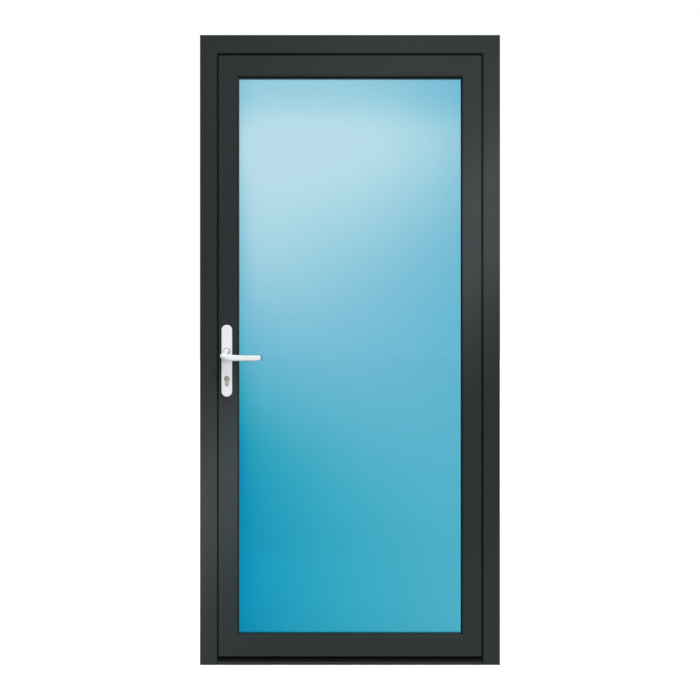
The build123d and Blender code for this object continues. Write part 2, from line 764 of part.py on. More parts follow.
def hinges():
    """Frame halves, pins and leaf halves of the three hinges."""
    half_leaf = leaf_knuckle_length / 2
    half_gap = half_leaf + knuckle_gap
    half = hinge_length / 2
    frame_half = hinge_plate(1, [(-half, -half_gap), (half_gap, half)], [(-half_gap, half_gap)])
    leaf_half_plate = hinge_plate(
        -1, [(-half_leaf, half_leaf)], [(-half - past, -half_leaf), (half_leaf, half + past)]
    )
    pin = rod_z(pin_radius, hinge_x, hinge_y, -half, half)
    for side, outer_end in ((-1, 0), (1, -1)):
        ends = sorted((side * half, side * (half + pin_head_thickness)))
        cap = rod_z(pin_head_radius, hinge_x, hinge_y, *ends)
        pin = pin + chamfer(cap.edges().group_by(Axis.Z)[outer_end], pin_head_thickness / 3)
    frame_holes = placed(screw_hole(hinge_screw_length), hinge_screw_places(1), into_minus_y)
    leaf_holes = placed(screw_hole(hinge_screw_length), hinge_screw_places(-1), into_minus_y)
    frame_plates = [cut_all(Pos(0, 0, z) * frame_half, frame_holes) for z in hinge_heights]
    leaf_plates = [cut_all(Pos(0, 0, z) * leaf_half_plate, leaf_holes) for z in hinge_heights]
    pins = [Pos(0, 0, z) * pin for z in hinge_heights]
    return solids_of(*frame_plates), solids_of(*pins), solids_of(*leaf_plates)


def leaf_bar_bands():
    """The two thermal bars all round the leaf."""
    front, back = leaf_outer_back - bar_foot, leaf_inner_front + bar_foot
    inset = faceplate_thickness
    edge_side = ring(from_leaf_edge(inset), from_leaf_edge(inset + bar_thickness), front, back)
    glass_side = ring(
        from_sight(rebate_reach + bar_thickness), from_sight(rebate_reach), front, back
    )
    return edge_side, glass_side


def leaf_shells():
    """Outer and inner aluminium shells of the stiles and rails."""
    rebate = from_sight(rebate_reach)
    rebate_wall = from_sight(rebate_reach + wall)
    lip_edge = from_sight(gasket_sight)
    mouth = (lip_edge[0] + stile_bevel, lip_edge[1] - rail_bevel, lip_edge[2] + rail_bevel)
    outer = ring(from_leaf_face(0), lip_edge, outside, leaf_outer_back)
    outer = outer - tapered(mouth, outside, lip_edge, outside + lip_bevel_depth)
    outer = outer - block(
        -rebate[0], rebate[0], outside + glazing_lip, leaf_outer_back + past, rebate[1], rebate[2]
    )
    outer = outer + ring(from_leaf_edge(0), from_leaf_face(0), flange_front, leaf_outer_back)
    outer = outer - ring(from_leaf_face(wall), rebate_wall, outside + wall, leaf_outer_back - rear_wall)
    outer = outer - leaf_gasket_band(flange_front, flange_front + flange_groove)
    inner = ring(from_leaf_edge(0), rebate, leaf_inner_front, inside)
    inner = inner - ring(
        from_leaf_edge(wall), rebate_wall, leaf_inner_front + rear_wall, inside - wall
    )
    for bar in leaf_bar_bands():
        outer = outer - bar
        inner = inner - bar
    outer_parts = split_leaf(outer, from_sight(0), from_leaf_face(0))
    inner_parts = split_leaf(inner, rebate, from_leaf_edge(0))
    outer_cuts = through_leaf(outside - past, leaf_outer_back + past)
    outer_parts["left"] = cut_all(outer_parts["left"], outer_cuts)
    inner_cuts = through_leaf(leaf_inner_front - past, inside + past)
    inner_parts["left"] = cut_all(inner_parts["left"], inner_cuts)
    holes = placed(screw_hole(hinge_screw_length), hinge_screw_places(-1), into_minus_y)
    inner_parts["right"] = cut_all(inner_parts["right"], holes)
    return outer_parts, inner_parts


def leaf_gasket_rects():
    """Outer and inner rectangle of the leaf's own gasket."""
    return from_leaf_edge(leaf_seal_inset), from_leaf_edge(leaf_seal_inset + stop_seal_width)


def leaf_gasket_band(y0, y1):
    """The leaf gasket's path on the front of the stop flange, on the sides and the top."""
    far, near = leaf_gasket_rects()
    return ring(far, near, y0, y1) - block(-half_width, half_width, -reach, reach, 0, near[1])


def leaf_gasket():
    """Second seal, on the leaf's stop flange, against the back of the frame's lip."""
    body = leaf_gasket_band(frame_outer_back + end_gap, flange_front + flange_groove)
    far, near = leaf_gasket_rects()
    return solids_of(*split(body, near, far, ("left", "right", "top")).values())


def leaf_bars():
    """The leaf's thermal bars, open where the lock cases stand and the screws go in."""
    edge_band, glass_band = leaf_bar_bands()
    inset, thick = faceplate_thickness, bar_thickness
    edge_side = split_leaf(edge_band, from_leaf_edge(inset + thick), from_leaf_edge(inset))
    glass_side = split_leaf(glass_band, from_sight(rebate_reach), from_sight(rebate_reach + thick))
    room = (
        faceplate_front, faceplate_back + bar_thickness + past, lock_low - case_play, lock_high + case_play
    )
    cutters = [block(*room, lock_bottom - case_play, lock_top + case_play)]
    half = side_case_half_height + case_play
    for z in side_bolt_heights:
        cutters.append(block(*room, z - half, z + half))
    cutters += placed(screw_hole(faceplate_screw_length), faceplate_screw_places(), into_plus_x)
    edge_side["left"] = cut_all(edge_side["left"], cutters)
    return solids_of(*edge_side.values(), *glass_side.values())


def leaf_cleats():
    """Corner cleats in the leaf's two chambers."""
    corners = [(side, height) for side in (-1, 1) for height in ("top", "bottom")]
    rebate_wall = loosened(from_sight(rebate_reach + wall), cleat_fit)
    outer = corner_cleats(
        rebate_wall,
        loosened(from_leaf_face(wall), -cleat_fit),
        outside + wall,
        leaf_outer_back - rear_wall,
        corners,
    )
    inner = corner_cleats(
        rebate_wall,
        loosened(from_leaf_edge(wall), -cleat_fit),
        leaf_inner_front + rear_wall,
        inside - wall,
        corners,
    )
    return solids_of(*outer, *inner)


def bottom_seal():
    """Black seal under the leaf: a foot between the leaf's two shells, two fins that sweep the
    threshold and a front apron."""
    half = edge_half - faceplate_thickness - bar_thickness
    front, back = leaf_outer_back, leaf_inner_front
    low = core_height + end_gap
    seal = block(-half, half, front, back, leaf_bottom, leaf_bottom + faceplate_thickness)
    for y in (front, back - fin_thickness):
        seal = seal + block(-half, half, y, y + fin_thickness, low, leaf_bottom)
    apron_low = low + seal_apron_rise
    apron = block(-leaf_half, leaf_half, frame_outer_back + end_gap, front, apron_low, leaf_bottom)
    return seal + apron


def glazing():
    """Panes, spacer, edge seal, setting blocks and gaskets."""
    rect = from_sight(glass_cover)
    panes = [
        block(-rect[0], rect[0], y, y + pane_thickness, rect[1], rect[2])
        for y in (glass_front, inner_pane_front)
    ]
    gap_front, gap_back = glass_front + pane_thickness, inner_pane_front
    spacer_outer = from_sight(glass_cover - spacer_inset)
    spacer_inner = from_sight(glass_cover - spacer_inset - spacer_width)
    spacer = ring(spacer_outer, spacer_inner, gap_front, gap_back)
    seal = ring(rect, spacer_outer, gap_front, gap_back)
    outer_gasket = ring(
        from_sight(gasket_cover), from_sight(0), outside + glazing_lip, glass_front
    ) + ring(from_sight(gasket_sight), from_sight(0), outside + gasket_recess, outside + glazing_lip)
    inner_gasket = ring(from_sight(gasket_cover), from_sight(0), glass_back, bead_front)
    blocks = []
    thickness = rebate_reach - glass_cover
    half_block = block_length / 2
    across = rect[0] * block_place
    for side in (-1, 1):
        x = side * across
        for z in (rect[1] - thickness, rect[2]):
            blocks.append(
                block(x - half_block, x + half_block, glass_front, glass_back, z, z + thickness)
            )
        for z in (rect[1] + 2 * block_length, rect[2] - 2 * block_length):
            x0, x1 = sorted((side * rect[0], side * (rect[0] + thickness)))
            blocks.append(block(x0, x1, glass_front, glass_back, z - half_block, z + half_block))
    cover = from_sight(gasket_cover)
    gaskets = [
        solids_of(*split_leaf(gasket, from_sight(0), cover).values())
        for gasket in (outer_gasket, inner_gasket)
    ]
    return panes, spacer, seal, solids_of(*blocks), gaskets


def bead(x0, x1, z0, z1, lengthwise):
    """A hollow glazing bead between two corners, open at its ends."""
    body = block(x0, x1, bead_front, inside, z0, z1)
    t = bead_wall
    if lengthwise == "x":
        body = body - block(x0 - past, x1 + past, bead_front + t, inside - t, z0 + t, z1 - t)
        long_axis = Axis.X
    else:
        body = body - block(x0 + t, x1 - t, bead_front + t, inside - t, z0 - past, z1 + past)
        long_axis = Axis.Z
    faces_glass = [
        edge
        for edge in body.edges().filter_by(long_axis)
        if abs(edge.center().Y - inside) < touch
        and abs(edge.center().X) < sight_half + touch
        and sight_bottom - touch < edge.center().Z < sight_top + touch
    ]
    return chamfer(faces_glass, bead_chamfer)


def glazing_beads():
    """Lock side, hinge side, top and bottom bead, on the room side of the glass."""
    rect = from_sight(rebate_reach)
    top = bead(-rect[0], rect[0], sight_top, rect[2], "x")
    bottom = bead(-rect[0], rect[0], rect[1], sight_bottom, "x")
    left = bead(-rect[0], -sight_half, sight_bottom, sight_top, "z")
    right = bead(sight_half, rect[0], sight_bottom, sight_top, "z")
    return left, right, top, bottom


def faceplate():
    """The lock's long faceplate on the leaf's edge."""
    y0 = leaf_outer_back + strike_side_gap
    y1 = leaf_inner_front - strike_side_gap
    plate = block(faceplate_front, faceplate_back, y0, y1, *faceplate_ends)
    x0, x1 = faceplate_front - past, faceplate_back + past
    window_end = lock_plane + latch_thickness / 2 + bolt_clearance
    cutters = bolt_windows(x0, x1, bolt_clearance)
    cutters.append(latch_window(x0, x1, window_end, bolt_clearance))
    cutters += placed(screw_hole(faceplate_screw_length), faceplate_screw_places(), into_plus_x)
    return cut_all(plate, cutters)


def case_shell(x1, z0, z1):
    """A lock case behind the faceplate: a box with thin walls, open towards the faceplate."""
    body = block(faceplate_back, x1, lock_low, lock_high, z0, z1)
    return body - block(
        faceplate_back - past, x1 - lock_wall, lock_low + lock_wall, lock_high - lock_wall,
        z0 + lock_wall, z1 - lock_wall,
    )


def rod_x_span():
    """Where the flat drive rods lie in X."""
    return faceplate_front + rod_inset, faceplate_front + rod_inset + rod_thickness


def rod_slot(z):
    """The slot in a case's end wall that a drive rod runs through."""
    x0, x1 = rod_x_span()
    half = rod_width / 2 + rod_play
    half_depth = 2 * lock_wall
    y0, y1 = lock_plane - half, lock_plane + half
    return block(x0 - rod_play, x1 + rod_play, y0, y1, z - half_depth, z + half_depth)


def lock_cases():
    """Main lock case, and the upper and lower bolt cases."""
    main = case_shell(lock_rear, lock_bottom, lock_top)
    main = cut_all(main, through_leaf(lock_low - past, lock_high + past))
    hub_room = follower_radius + follower_room
    main = main - rod_y(hub_room, spindle_x, spindle_height, lock_low + lock_wall, lock_high)
    main = main - rod_slot(lock_top) - rod_slot(lock_bottom)
    sides = []
    for z, end in zip(side_bolt_heights, (1, -1)):
        case = case_shell(
            faceplate_back + side_case_depth, z - side_case_half_height, z + side_case_half_height
        )
        sides.append(case - rod_slot(z + end * side_case_half_height))
    return main, solids_of(*sides)


def drive_rods():
    """Flat rods that link the main lock with the upper and lower bolts."""
    x0, x1 = rod_x_span()
    y0, y1 = lock_plane - rod_width / 2, lock_plane + rod_width / 2
    low, high = side_bolt_heights
    upper = block(x0, x1, y0, y1, lock_top - rod_reach, high - side_case_half_height + rod_lead)
    lower = block(x0, x1, y0, y1, low + side_case_half_height - rod_reach, lock_bottom + rod_lead)
    return solids_of(upper, lower)


def deadbolts():
    """The square deadbolt, and the round upper and lower bolts, drawn back."""
    x0 = faceplate_front + bolt_recess
    half = deadbolt_height / 2
    y0, y1 = lock_plane - deadbolt_thickness / 2, lock_plane + deadbolt_thickness / 2
    main = block(x0, x0 + deadbolt_length, y0, y1, deadbolt_z - half, deadbolt_z + half)
    main = chamfer(main.edges().filter_by(Axis.Z).group_by(Axis.X)[0], deadbolt_chamfer)
    pins = []
    for z in side_bolt_heights:
        pin = rod_x(side_bolt_radius, lock_plane, z, x0, x0 + side_bolt_length)
        pins.append(chamfer(pin.edges().group_by(Axis.X)[0], side_bolt_chamfer))
    return main, solids_of(*pins)


def latch():
    """The latch: a head bevelled on the outer side, and a tail with a lug for the follower's arm."""
    tip = faceplate_front - latch_reach
    root = faceplate_front + latch_head_length
    y0, y1 = lock_plane - latch_thickness / 2, lock_plane + latch_thickness / 2
    z0, z1 = latch_z - latch_height / 2, latch_z + latch_height / 2
    profile = [(root, y0), (faceplate_front, y0), (tip, y1 - latch_nose), (tip, y1), (root, y1)]
    outline = make_face(Polyline([(x, y, z0) for x, y in profile], close=True))
    head = extrude(outline, amount=z1 - z0, dir=(0, 0, 1))
    lug_x = lug_face_x()
    tail_half = latch_tail_thickness / 2
    tail_low = spindle_height + follower_arm + tail_clearance
    lug_low = spindle_height + follower_arm - lug_overlap
    tail_y = (lock_plane - tail_half, lock_plane + tail_half)
    tail = block(root, lug_x + lug_width, *tail_y, tail_low, tail_low + latch_tail_thickness)
    lug = block(lug_x, lug_x + lug_width, *tail_y, lug_low, tail_low + past)
    return head + tail + lug


def lug_face_x():
    """Where the latch's lug stands at rest, clear of the follower's leaning arm."""
    lean = radians(lever_travel)
    edge = follower_arm_width / 2 / cos(lean) - (follower_arm - lug_overlap) * tan(lean)
    return spindle_x + edge + lug_play


def follower():
    """The nut that the spindle turns, with the arm that draws the latch back."""
    y0 = lock_low + lock_wall + follower_play
    y1 = lock_high - lock_wall - follower_play
    hub = rod_y(follower_radius, spindle_x, spindle_height, y0, y1)
    half_arm = follower_arm_width / 2
    arm_y = (y0 + follower_arm_step, y1 - follower_arm_step)
    arm = block(-half_arm, half_arm, *arm_y, 0, follower_arm)
    arm = Pos(spindle_x, 0, spindle_height) * Rot(0, -lever_travel, 0) * arm
    half = square / 2 + square_clearance
    hole = block(
        spindle_x - half, spindle_x + half, -reach, reach, spindle_height - half, spindle_height + half
    )
    return hub + arm - hole


def spindle():
    """The square bar between the two levers."""
    end = profile_depth / 2 + plate_thickness + spindle_reach
    half = square / 2
    return block(
        spindle_x - half, spindle_x + half, -end, end, spindle_height - half, spindle_height + half
    )


def handle_plate():
    """The outside handle plate, rounded at its front rim."""
    front = outside - plate_thickness
    plate = stadium(plate_width, plate_height, front, outside, spindle_x, plate_z)
    rim = plate.edges().group_by(Axis.Y)[0]
    plate = fillet(rim, plate_round)
    floor = front + neck_recess_depth
    plate = plate - rod_y(neck_recess_radius, spindle_x, spindle_height, front - past, floor)
    plate = plate - rod_y(journal_hole, spindle_x, spindle_height, front - past, outside + past)
    return plate - cylinder_outline(front - past, outside + past, cylinder_hole_clearance)


def handle_plates():
    """Outer plate with blind screw sockets, and inner plate with screw holes."""
    outer = handle_plate()
    inner = mirror(handle_plate(), about=Plane.XZ)
    depth = plate_thickness - socket_floor
    radius = plate_screw_radius + screw_fit
    head_radius = plate_screw_head + screw_fit
    face = inside + plate_thickness
    for side in (-1, 1):
        z = plate_z + side * plate_screw_spacing / 2
        outer = outer - rod_y(radius, spindle_x, z, outside - depth, outside + past)
        inner = inner - rod_y(radius, spindle_x, z, inside - past, face + past)
        inner = inner - rod_y(head_radius, spindle_x, z, face - head_room, face + past)
    return outer, inner


def plate_screws():
    """The two long screws that clamp the handle plates, driven from inside."""
    screws = []
    head_top = inside + plate_thickness - plate_screw_sink
    head_back = head_top - plate_screw_head_height
    slot_width, slot_half, slot_depth = plate_screw_slot
    narrow = slot_width / 2
    y = (head_top - slot_depth, head_top + past)
    for side in (-1, 1):
        z = plate_z + side * plate_screw_spacing / 2
        shank = rod_y(plate_screw_radius, spindle_x, z, outside - plate_screw_reach, head_back)
        head = rod_y(plate_screw_head, spindle_x, z, head_back, head_top)
        slot = block(spindle_x - slot_half, spindle_x + slot_half, *y, z - narrow, z + narrow)
        cross = block(spindle_x - narrow, spindle_x + narrow, *y, z - slot_half, z + slot_half)
        screws.append(shank + head - slot - cross)
    return solids_of(*screws)


def grip_section(x, y, z, height, depth):
    """A rounded section of the lever across X."""
    return Plane(origin=(x, y, z), x_dir=(0, 1, 0), z_dir=(1, 0, 0)) * RectangleRounded(
        depth, height, min(depth, height) * grip_rounding
    )


def lever():
    """The outside lever: a journal in the plate, a round neck that leans down to the elbow, and a
    level grip with a rounded section."""
    face = outside - plate_thickness
    start = face + neck_recess_depth - neck_stand_off
    bend = start - collar_length
    grip_y = outside - lever_stand_off
    elbow_x, elbow_z = spindle_x - elbow_shift, spindle_height - elbow_drop
    journal = rod_y(journal_radius, spindle_x, spindle_height, start, outside + journal_length)
    collar = rod_y(neck_radius, spindle_x, spindle_height, bend, start)
    middle_x = spindle_x - elbow_shift * neck_lean
    middle_z = spindle_height - elbow_drop * neck_lean
    end_radius = elbow_radius - neck_taper
    centres = [
        (bend, spindle_x, spindle_height, neck_radius),
        ((bend + grip_y) / 2, middle_x, middle_z, (neck_radius + end_radius) / 2),
        (grip_y, elbow_x, elbow_z, end_radius),
    ]
    sections = [
        Plane(origin=(x, y, z), x_dir=(1, 0, 0), z_dir=(0, -1, 0)) * Circle(radius)
        for y, x, z, radius in centres
    ]
    neck = loft(sections)
    elbow = Pos(elbow_x, grip_y, elbow_z) * Rot(0, 90, 0) * Sphere(elbow_radius)
    run = spindle_x + grip_length - elbow_x
    grip = loft([
        grip_section(elbow_x + share * run, grip_y + inward, spindle_height - drop, height, depth)
        for share, drop, height, depth, inward in grip_shape
    ])
    grip = fillet(grip.faces().sort_by(Axis.X)[-1].edges(), tip_round)
    half = square / 2 + square_clearance
    hole = block(
        spindle_x - half, spindle_x + half,
        face - spindle_reach - spindle_end_play, outside + reach,
        spindle_height - half, spindle_height + half,
    )
    return collar + neck + elbow + grip + journal - hole


def cylinder_lock():
    """Cylinder body, and the plugs with their cam."""
    front = outside - plate_thickness - cylinder_stand_out
    back = inside + plate_thickness + cylinder_stand_out
    half_cam = cam_thickness / 2
    cam_front, cam_back = lock_plane - half_cam, lock_plane + half_cam
    body = cylinder_outline(front, back)
    body = chamfer(body.edges().group_by(Axis.Y)[0] + body.edges().group_by(Axis.Y)[-1], cylinder_edge)
    bore = plug_radius + plug_clearance
    body = body - rod_y(bore, spindle_x, cylinder_height, front - past, back + past)
    body = body - block(
        spindle_x - 2 * cylinder_radius, spindle_x + 2 * cylinder_radius,
        cam_front - cam_side_play, cam_back + cam_side_play,
        cylinder_height - cam_reach - cam_floor_play, cylinder_height + 2 * cylinder_radius,
    )
    key_top = cylinder_height + keyway_rise
    plugs = []
    for y0, y1, key_y in ((front, cam_front - cam_gap, front), (cam_back + cam_gap, back, back)):
        plug = rod_y(plug_radius, spindle_x, cylinder_height, y0, y1)
        plug = chamfer(plug.edges().filter_by_position(Axis.Y, key_y - touch, key_y + touch), plug_edge)
        keyway = block(
            spindle_x - keyway_width / 2, spindle_x + keyway_width / 2,
            key_y - keyway_depth, key_y + keyway_depth,
            key_top - keyway_height, key_top,
        )
        plugs.append(plug - keyway)
    cam = rod_y(cam_radius, spindle_x, cylinder_height, cam_front, cam_back)
    nose = block(
        spindle_x - cam_nose_width / 2, spindle_x + cam_nose_width / 2, cam_front, cam_back,
        cylinder_height, cylinder_height + cam_reach,
    )
    return body, solids_of(*plugs, cam + nose)


def screw_sets():
    """Screws in the frame and screws in the leaf."""
    frame = placed(countersunk_screw(strike_screw_length), strike_screw_places(), into_minus_x)
    frame += placed(countersunk_screw(hinge_screw_length), hinge_screw_places(1), into_minus_y)
    leaf = placed(countersunk_screw(faceplate_screw_length), faceplate_screw_places(), into_plus_x)
    leaf += placed(countersunk_screw(hinge_screw_length), hinge_screw_places(-1), into_minus_y)
    return solids_of(*frame), solids_of(*leaf)


def build():
    """Every piece of the door by name."""
    parts = {}
    outer, inner = frame_shells()
    for side, name in (("left", "lock_jamb"), ("right", "hinge_jamb"), ("top", "head")):
        parts[f"{name}_outer_shell"] = outer[side]
        parts[f"{name}_inner_shell"] = inner[side]
    parts["frame_thermal_bars"] = frame_bars()
    parts["frame_corner_cleats"] = frame_cleats()
    parts["frame_gasket"] = frame_gasket()
    names = ("threshold_outer_sill", "threshold_core", "threshold_inner_sill", "threshold_end_blocks")
    parts.update(zip(names, threshold()))
    names = ("main_strike_plate", "upper_strike_plate", "lower_strike_plate")
    parts.update(zip(names, strike_plates()))
    parts.update(zip(("hinge_frame_plates", "hinge_pins", "hinge_leaf_plates"), hinges()))

    outer, inner = leaf_shells()
    sides = (
        ("left", "lock_stile"), ("right", "hinge_stile"), ("top", "top_rail"), ("bottom", "bottom_rail")
    )
    for side, name in sides:
        parts[f"{name}_outer_shell"] = outer[side]
        parts[f"{name}_inner_shell"] = inner[side]
    parts["leaf_thermal_bars"] = leaf_bars()
    parts["leaf_corner_cleats"] = leaf_cleats()
    parts["leaf_gasket"] = leaf_gasket()
    parts["bottom_seal"] = bottom_seal()
    panes, spacer, edge_seal, blocks, gaskets = glazing()
    parts["glass_outer_pane"], parts["glass_inner_pane"] = panes
    parts["glass_spacer"] = spacer
    parts["glass_edge_seal"] = edge_seal
    parts["setting_blocks"] = blocks
    parts["outer_glazing_gasket"], parts["inner_glazing_gasket"] = gaskets
    names = ("lock_side_bead", "hinge_side_bead", "top_bead", "bottom_bead")
    parts.update(zip(names, glazing_beads()))

    parts["lock_faceplate"] = faceplate()
    parts["lock_case"], parts["bolt_cases"] = lock_cases()
    parts["drive_rods"] = drive_rods()
    parts["deadbolt"], parts["side_bolts"] = deadbolts()
    parts["latch_bolt"] = latch()
    parts["lock_follower"] = follower()
    parts["lever_spindle"] = spindle()
    parts["outer_handle_plate"], parts["inner_handle_plate"] = handle_plates()
    parts["handle_plate_screws"] = plate_screws()
    parts["outer_lever"] = lever()
    parts["inner_lever"] = mirror(lever(), about=Plane.XZ)
    parts["cylinder_body"], parts["cylinder_plugs"] = cylinder_lock()
    parts["frame_screws"], parts["leaf_screws"] = screw_sets()
    return parts


os.makedirs("parts", exist_ok=True)
for node, shape in build().items():
    export_step(shape, f"parts/{node}.step")
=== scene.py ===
"""Looks of a glazed entrance door in its frame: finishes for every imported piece, seals with their real
sections, a plain floor, soft studio light and a camera square on from outside."""

import json
import logging
from collections.abc import Sequence
from dataclasses import dataclass, field
from enum import Enum

import bmesh
import bpy
import numpy as np
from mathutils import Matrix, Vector

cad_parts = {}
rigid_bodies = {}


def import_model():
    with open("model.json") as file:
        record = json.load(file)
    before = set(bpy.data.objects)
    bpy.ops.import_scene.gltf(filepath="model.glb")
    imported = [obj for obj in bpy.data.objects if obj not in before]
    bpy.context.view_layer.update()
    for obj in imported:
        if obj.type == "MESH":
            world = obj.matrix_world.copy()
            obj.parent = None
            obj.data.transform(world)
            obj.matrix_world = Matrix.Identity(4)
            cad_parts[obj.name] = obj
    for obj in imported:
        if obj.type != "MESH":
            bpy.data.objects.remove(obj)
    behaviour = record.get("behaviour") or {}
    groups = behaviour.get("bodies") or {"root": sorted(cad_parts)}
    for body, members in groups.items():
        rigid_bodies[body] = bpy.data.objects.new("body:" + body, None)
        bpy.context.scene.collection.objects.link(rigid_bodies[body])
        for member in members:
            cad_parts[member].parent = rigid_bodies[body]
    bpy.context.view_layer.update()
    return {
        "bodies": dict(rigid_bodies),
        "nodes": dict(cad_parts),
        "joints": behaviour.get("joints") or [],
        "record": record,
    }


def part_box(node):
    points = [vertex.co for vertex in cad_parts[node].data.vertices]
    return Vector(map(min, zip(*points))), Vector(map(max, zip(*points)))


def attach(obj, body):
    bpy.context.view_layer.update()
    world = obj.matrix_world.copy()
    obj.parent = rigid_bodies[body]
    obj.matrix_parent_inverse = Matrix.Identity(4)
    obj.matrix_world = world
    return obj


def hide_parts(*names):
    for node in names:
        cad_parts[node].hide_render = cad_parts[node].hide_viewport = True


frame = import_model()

log = logging.getLogger("door")

Colour = tuple[float, float, float]
MM = 0.001
LOCK_CHAMFER_IN_SIGHT = 0.3


def colour(red: int, green: int, blue: int) -> Colour:
    """Turns a display colour into scene-linear values.

    Args:
        red, green, blue: display values from 0 to 255.

    Returns:
        The linear colour.
    """
    share = np.array([red, green, blue]) / 255
    linear = np.where(share <= 0.04045, share / 12.92, ((share + 0.055) / 1.055) ** 2.4)
    return tuple(float(value) for value in linear)


class Maths(Enum):
    """The sums that the materials use."""

    ADD = "ADD"
    SUBTRACT = "SUBTRACT"
    MULTIPLY = "MULTIPLY"
    DIVIDE = "DIVIDE"
    POWER = "POWER"
    ABSOLUTE = "ABSOLUTE"
    MAXIMUM = "MAXIMUM"
    MINIMUM = "MINIMUM"


Socket = bpy.types.NodeSocket
Value = float | Socket


def span(node: str) -> tuple[np.ndarray, np.ndarray]:
    """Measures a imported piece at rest.

    Args:
        node: the piece's name.

    Returns:
        Its lowest and its highest corner in millimetres, to a thousandth.
    """
    low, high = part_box(node)
    return np.round(np.array(low) / MM, 3), np.round(np.array(high) / MM, 3)


class NodeSheet:
    """Adds nodes and links to one node tree."""

    def __init__(self, tree: bpy.types.NodeTree) -> None:
        """Keeps the tree."""
        self.tree = tree

    def add(self, kind: str, **settings: object) -> bpy.types.Node:
        """Adds a node.

        Args:
            kind: the node's type name.
            settings: properties of the node by name.

        Returns:
            The new node.
        """
        node = self.tree.nodes.new(kind)
        for name, value in settings.items():
            setattr(node, name, value)
        return node

    def feed(self, socket: Socket, value: object) -> None:
        """Links a socket, or sets its value.

        Args:
            socket: the input to feed.
            value: another node's output, or a plain value.
        """
        if isinstance(value, bpy.types.NodeSocket):
            self.tree.links.new(value, socket)
        else:
            socket.default_value = value

    def falloff(self, value: Value) -> Socket:
        """Works out e to the power of minus a value and returns its socket."""
        return self.sum(Maths.POWER, float(np.e), self.sum(Maths.MULTIPLY, value, -1.0))

    def squared_off(self, value: Value, centre: Value, width: Value) -> Socket:
        """Works out ((value - centre) / width) ^ 2 and returns its socket."""
        off = self.sum(Maths.DIVIDE, self.sum(Maths.SUBTRACT, value, centre), width)
        return self.sum(Maths.MULTIPLY, off, off)

    def rise(self, value: Value, centre: Value, softness: float) -> Socket:
        """Works out a smooth step, 1 / (1 + e^-((value - centre) / softness)), and returns its socket."""
        off = self.sum(Maths.DIVIDE, self.sum(Maths.SUBTRACT, value, centre), softness)
        return self.sum(Maths.DIVIDE, 1.0, self.sum(Maths.ADD, self.falloff(off), 1.0))

    def sum(self, kind: Maths, first: Value, second: Value = 0.0) -> Socket:
        """Works out one sum of two values.

        Args:
            kind: which sum.
            first, second: numbers or sockets.

        Returns:
            The socket of the result.
        """
        node = self.add("ShaderNodeMath", operation=kind.value)
        self.feed(node.inputs[0], first)
        self.feed(node.inputs[1], second)
        return node.outputs[0]

    def blend(self, share: Value, first: object, second: object) -> Socket:
        """Mixes two colours.

        Args:
            share: how much of the second colour, from 0 to 1.
            first, second: colours or sockets.

        Returns:
            The socket of the mixed colour.
        """
        node = self.add("ShaderNodeMix", data_type="RGBA")
        self.feed(node.inputs["Factor"], share)
        for socket, value in ((node.inputs[6], first), (node.inputs[7], second)):
            self.feed(socket, (*value, 1.0) if isinstance(value, tuple) else value)
        return node.outputs[2]

    def between(self, value: Value, low: float, high: float) -> Socket:
        """Stretches a value from 0..1 to low..high and returns the socket."""
        node = self.add("ShaderNodeMapRange")
        self.feed(node.inputs["Value"], value)
        node.inputs["To Min"].default_value = low
        node.inputs["To Max"].default_value = high
        return node.outputs["Result"]

    def ramp(self, share: Socket, tints: Sequence[Colour]) -> Socket:
        """Reads a smooth, evenly spaced row of colours.

        Args:
            share: where the row is read, from 0 to 1.
            tints: the colours, first to last.

        Returns:
            The colour's socket.
        """
        node = self.add("ShaderNodeValToRGB")
        node.color_ramp.interpolation = "B_SPLINE"
        elements = node.color_ramp.elements
        places = np.linspace(0.0, 1.0, len(tints))
        for place in places[1:-1]:
            elements.new(float(place))
        for element, tint in zip(elements, tints):
            element.color = (*tint, 1.0)
        self.feed(node.inputs[0], share)
        return node.outputs[0]

    def place(self) -> Socket:
        """Returns the object coordinates' socket."""
        return self.add("ShaderNodeTexCoord").outputs["Object"]


def new_group(
    name: str, inputs: Sequence[tuple[str, str, float]], outputs: Sequence[tuple[str, str]]
) -> tuple[bpy.types.NodeTree, NodeSheet, bpy.types.Node, bpy.types.Node]:
    """Makes a shader node group with its sockets.

    Args:
        name: the group's name.
        inputs: name, socket type and default of each input.
        outputs: name and socket type of each output.

    Returns:
        The group, its node sheet, its input node and its output node.
    """
    group = bpy.data.node_groups.new(name, "ShaderNodeTree")
    for label, kind, default in inputs:
        socket = group.interface.new_socket(label, in_out="INPUT", socket_type=kind)
        if kind == "NodeSocketFloat":
            socket.default_value = default
    for label, kind in outputs:
        group.interface.new_socket(label, in_out="OUTPUT", socket_type=kind)
    sheet = NodeSheet(group)
    return group, sheet, sheet.add("NodeGroupInput"), sheet.add("NodeGroupOutput")


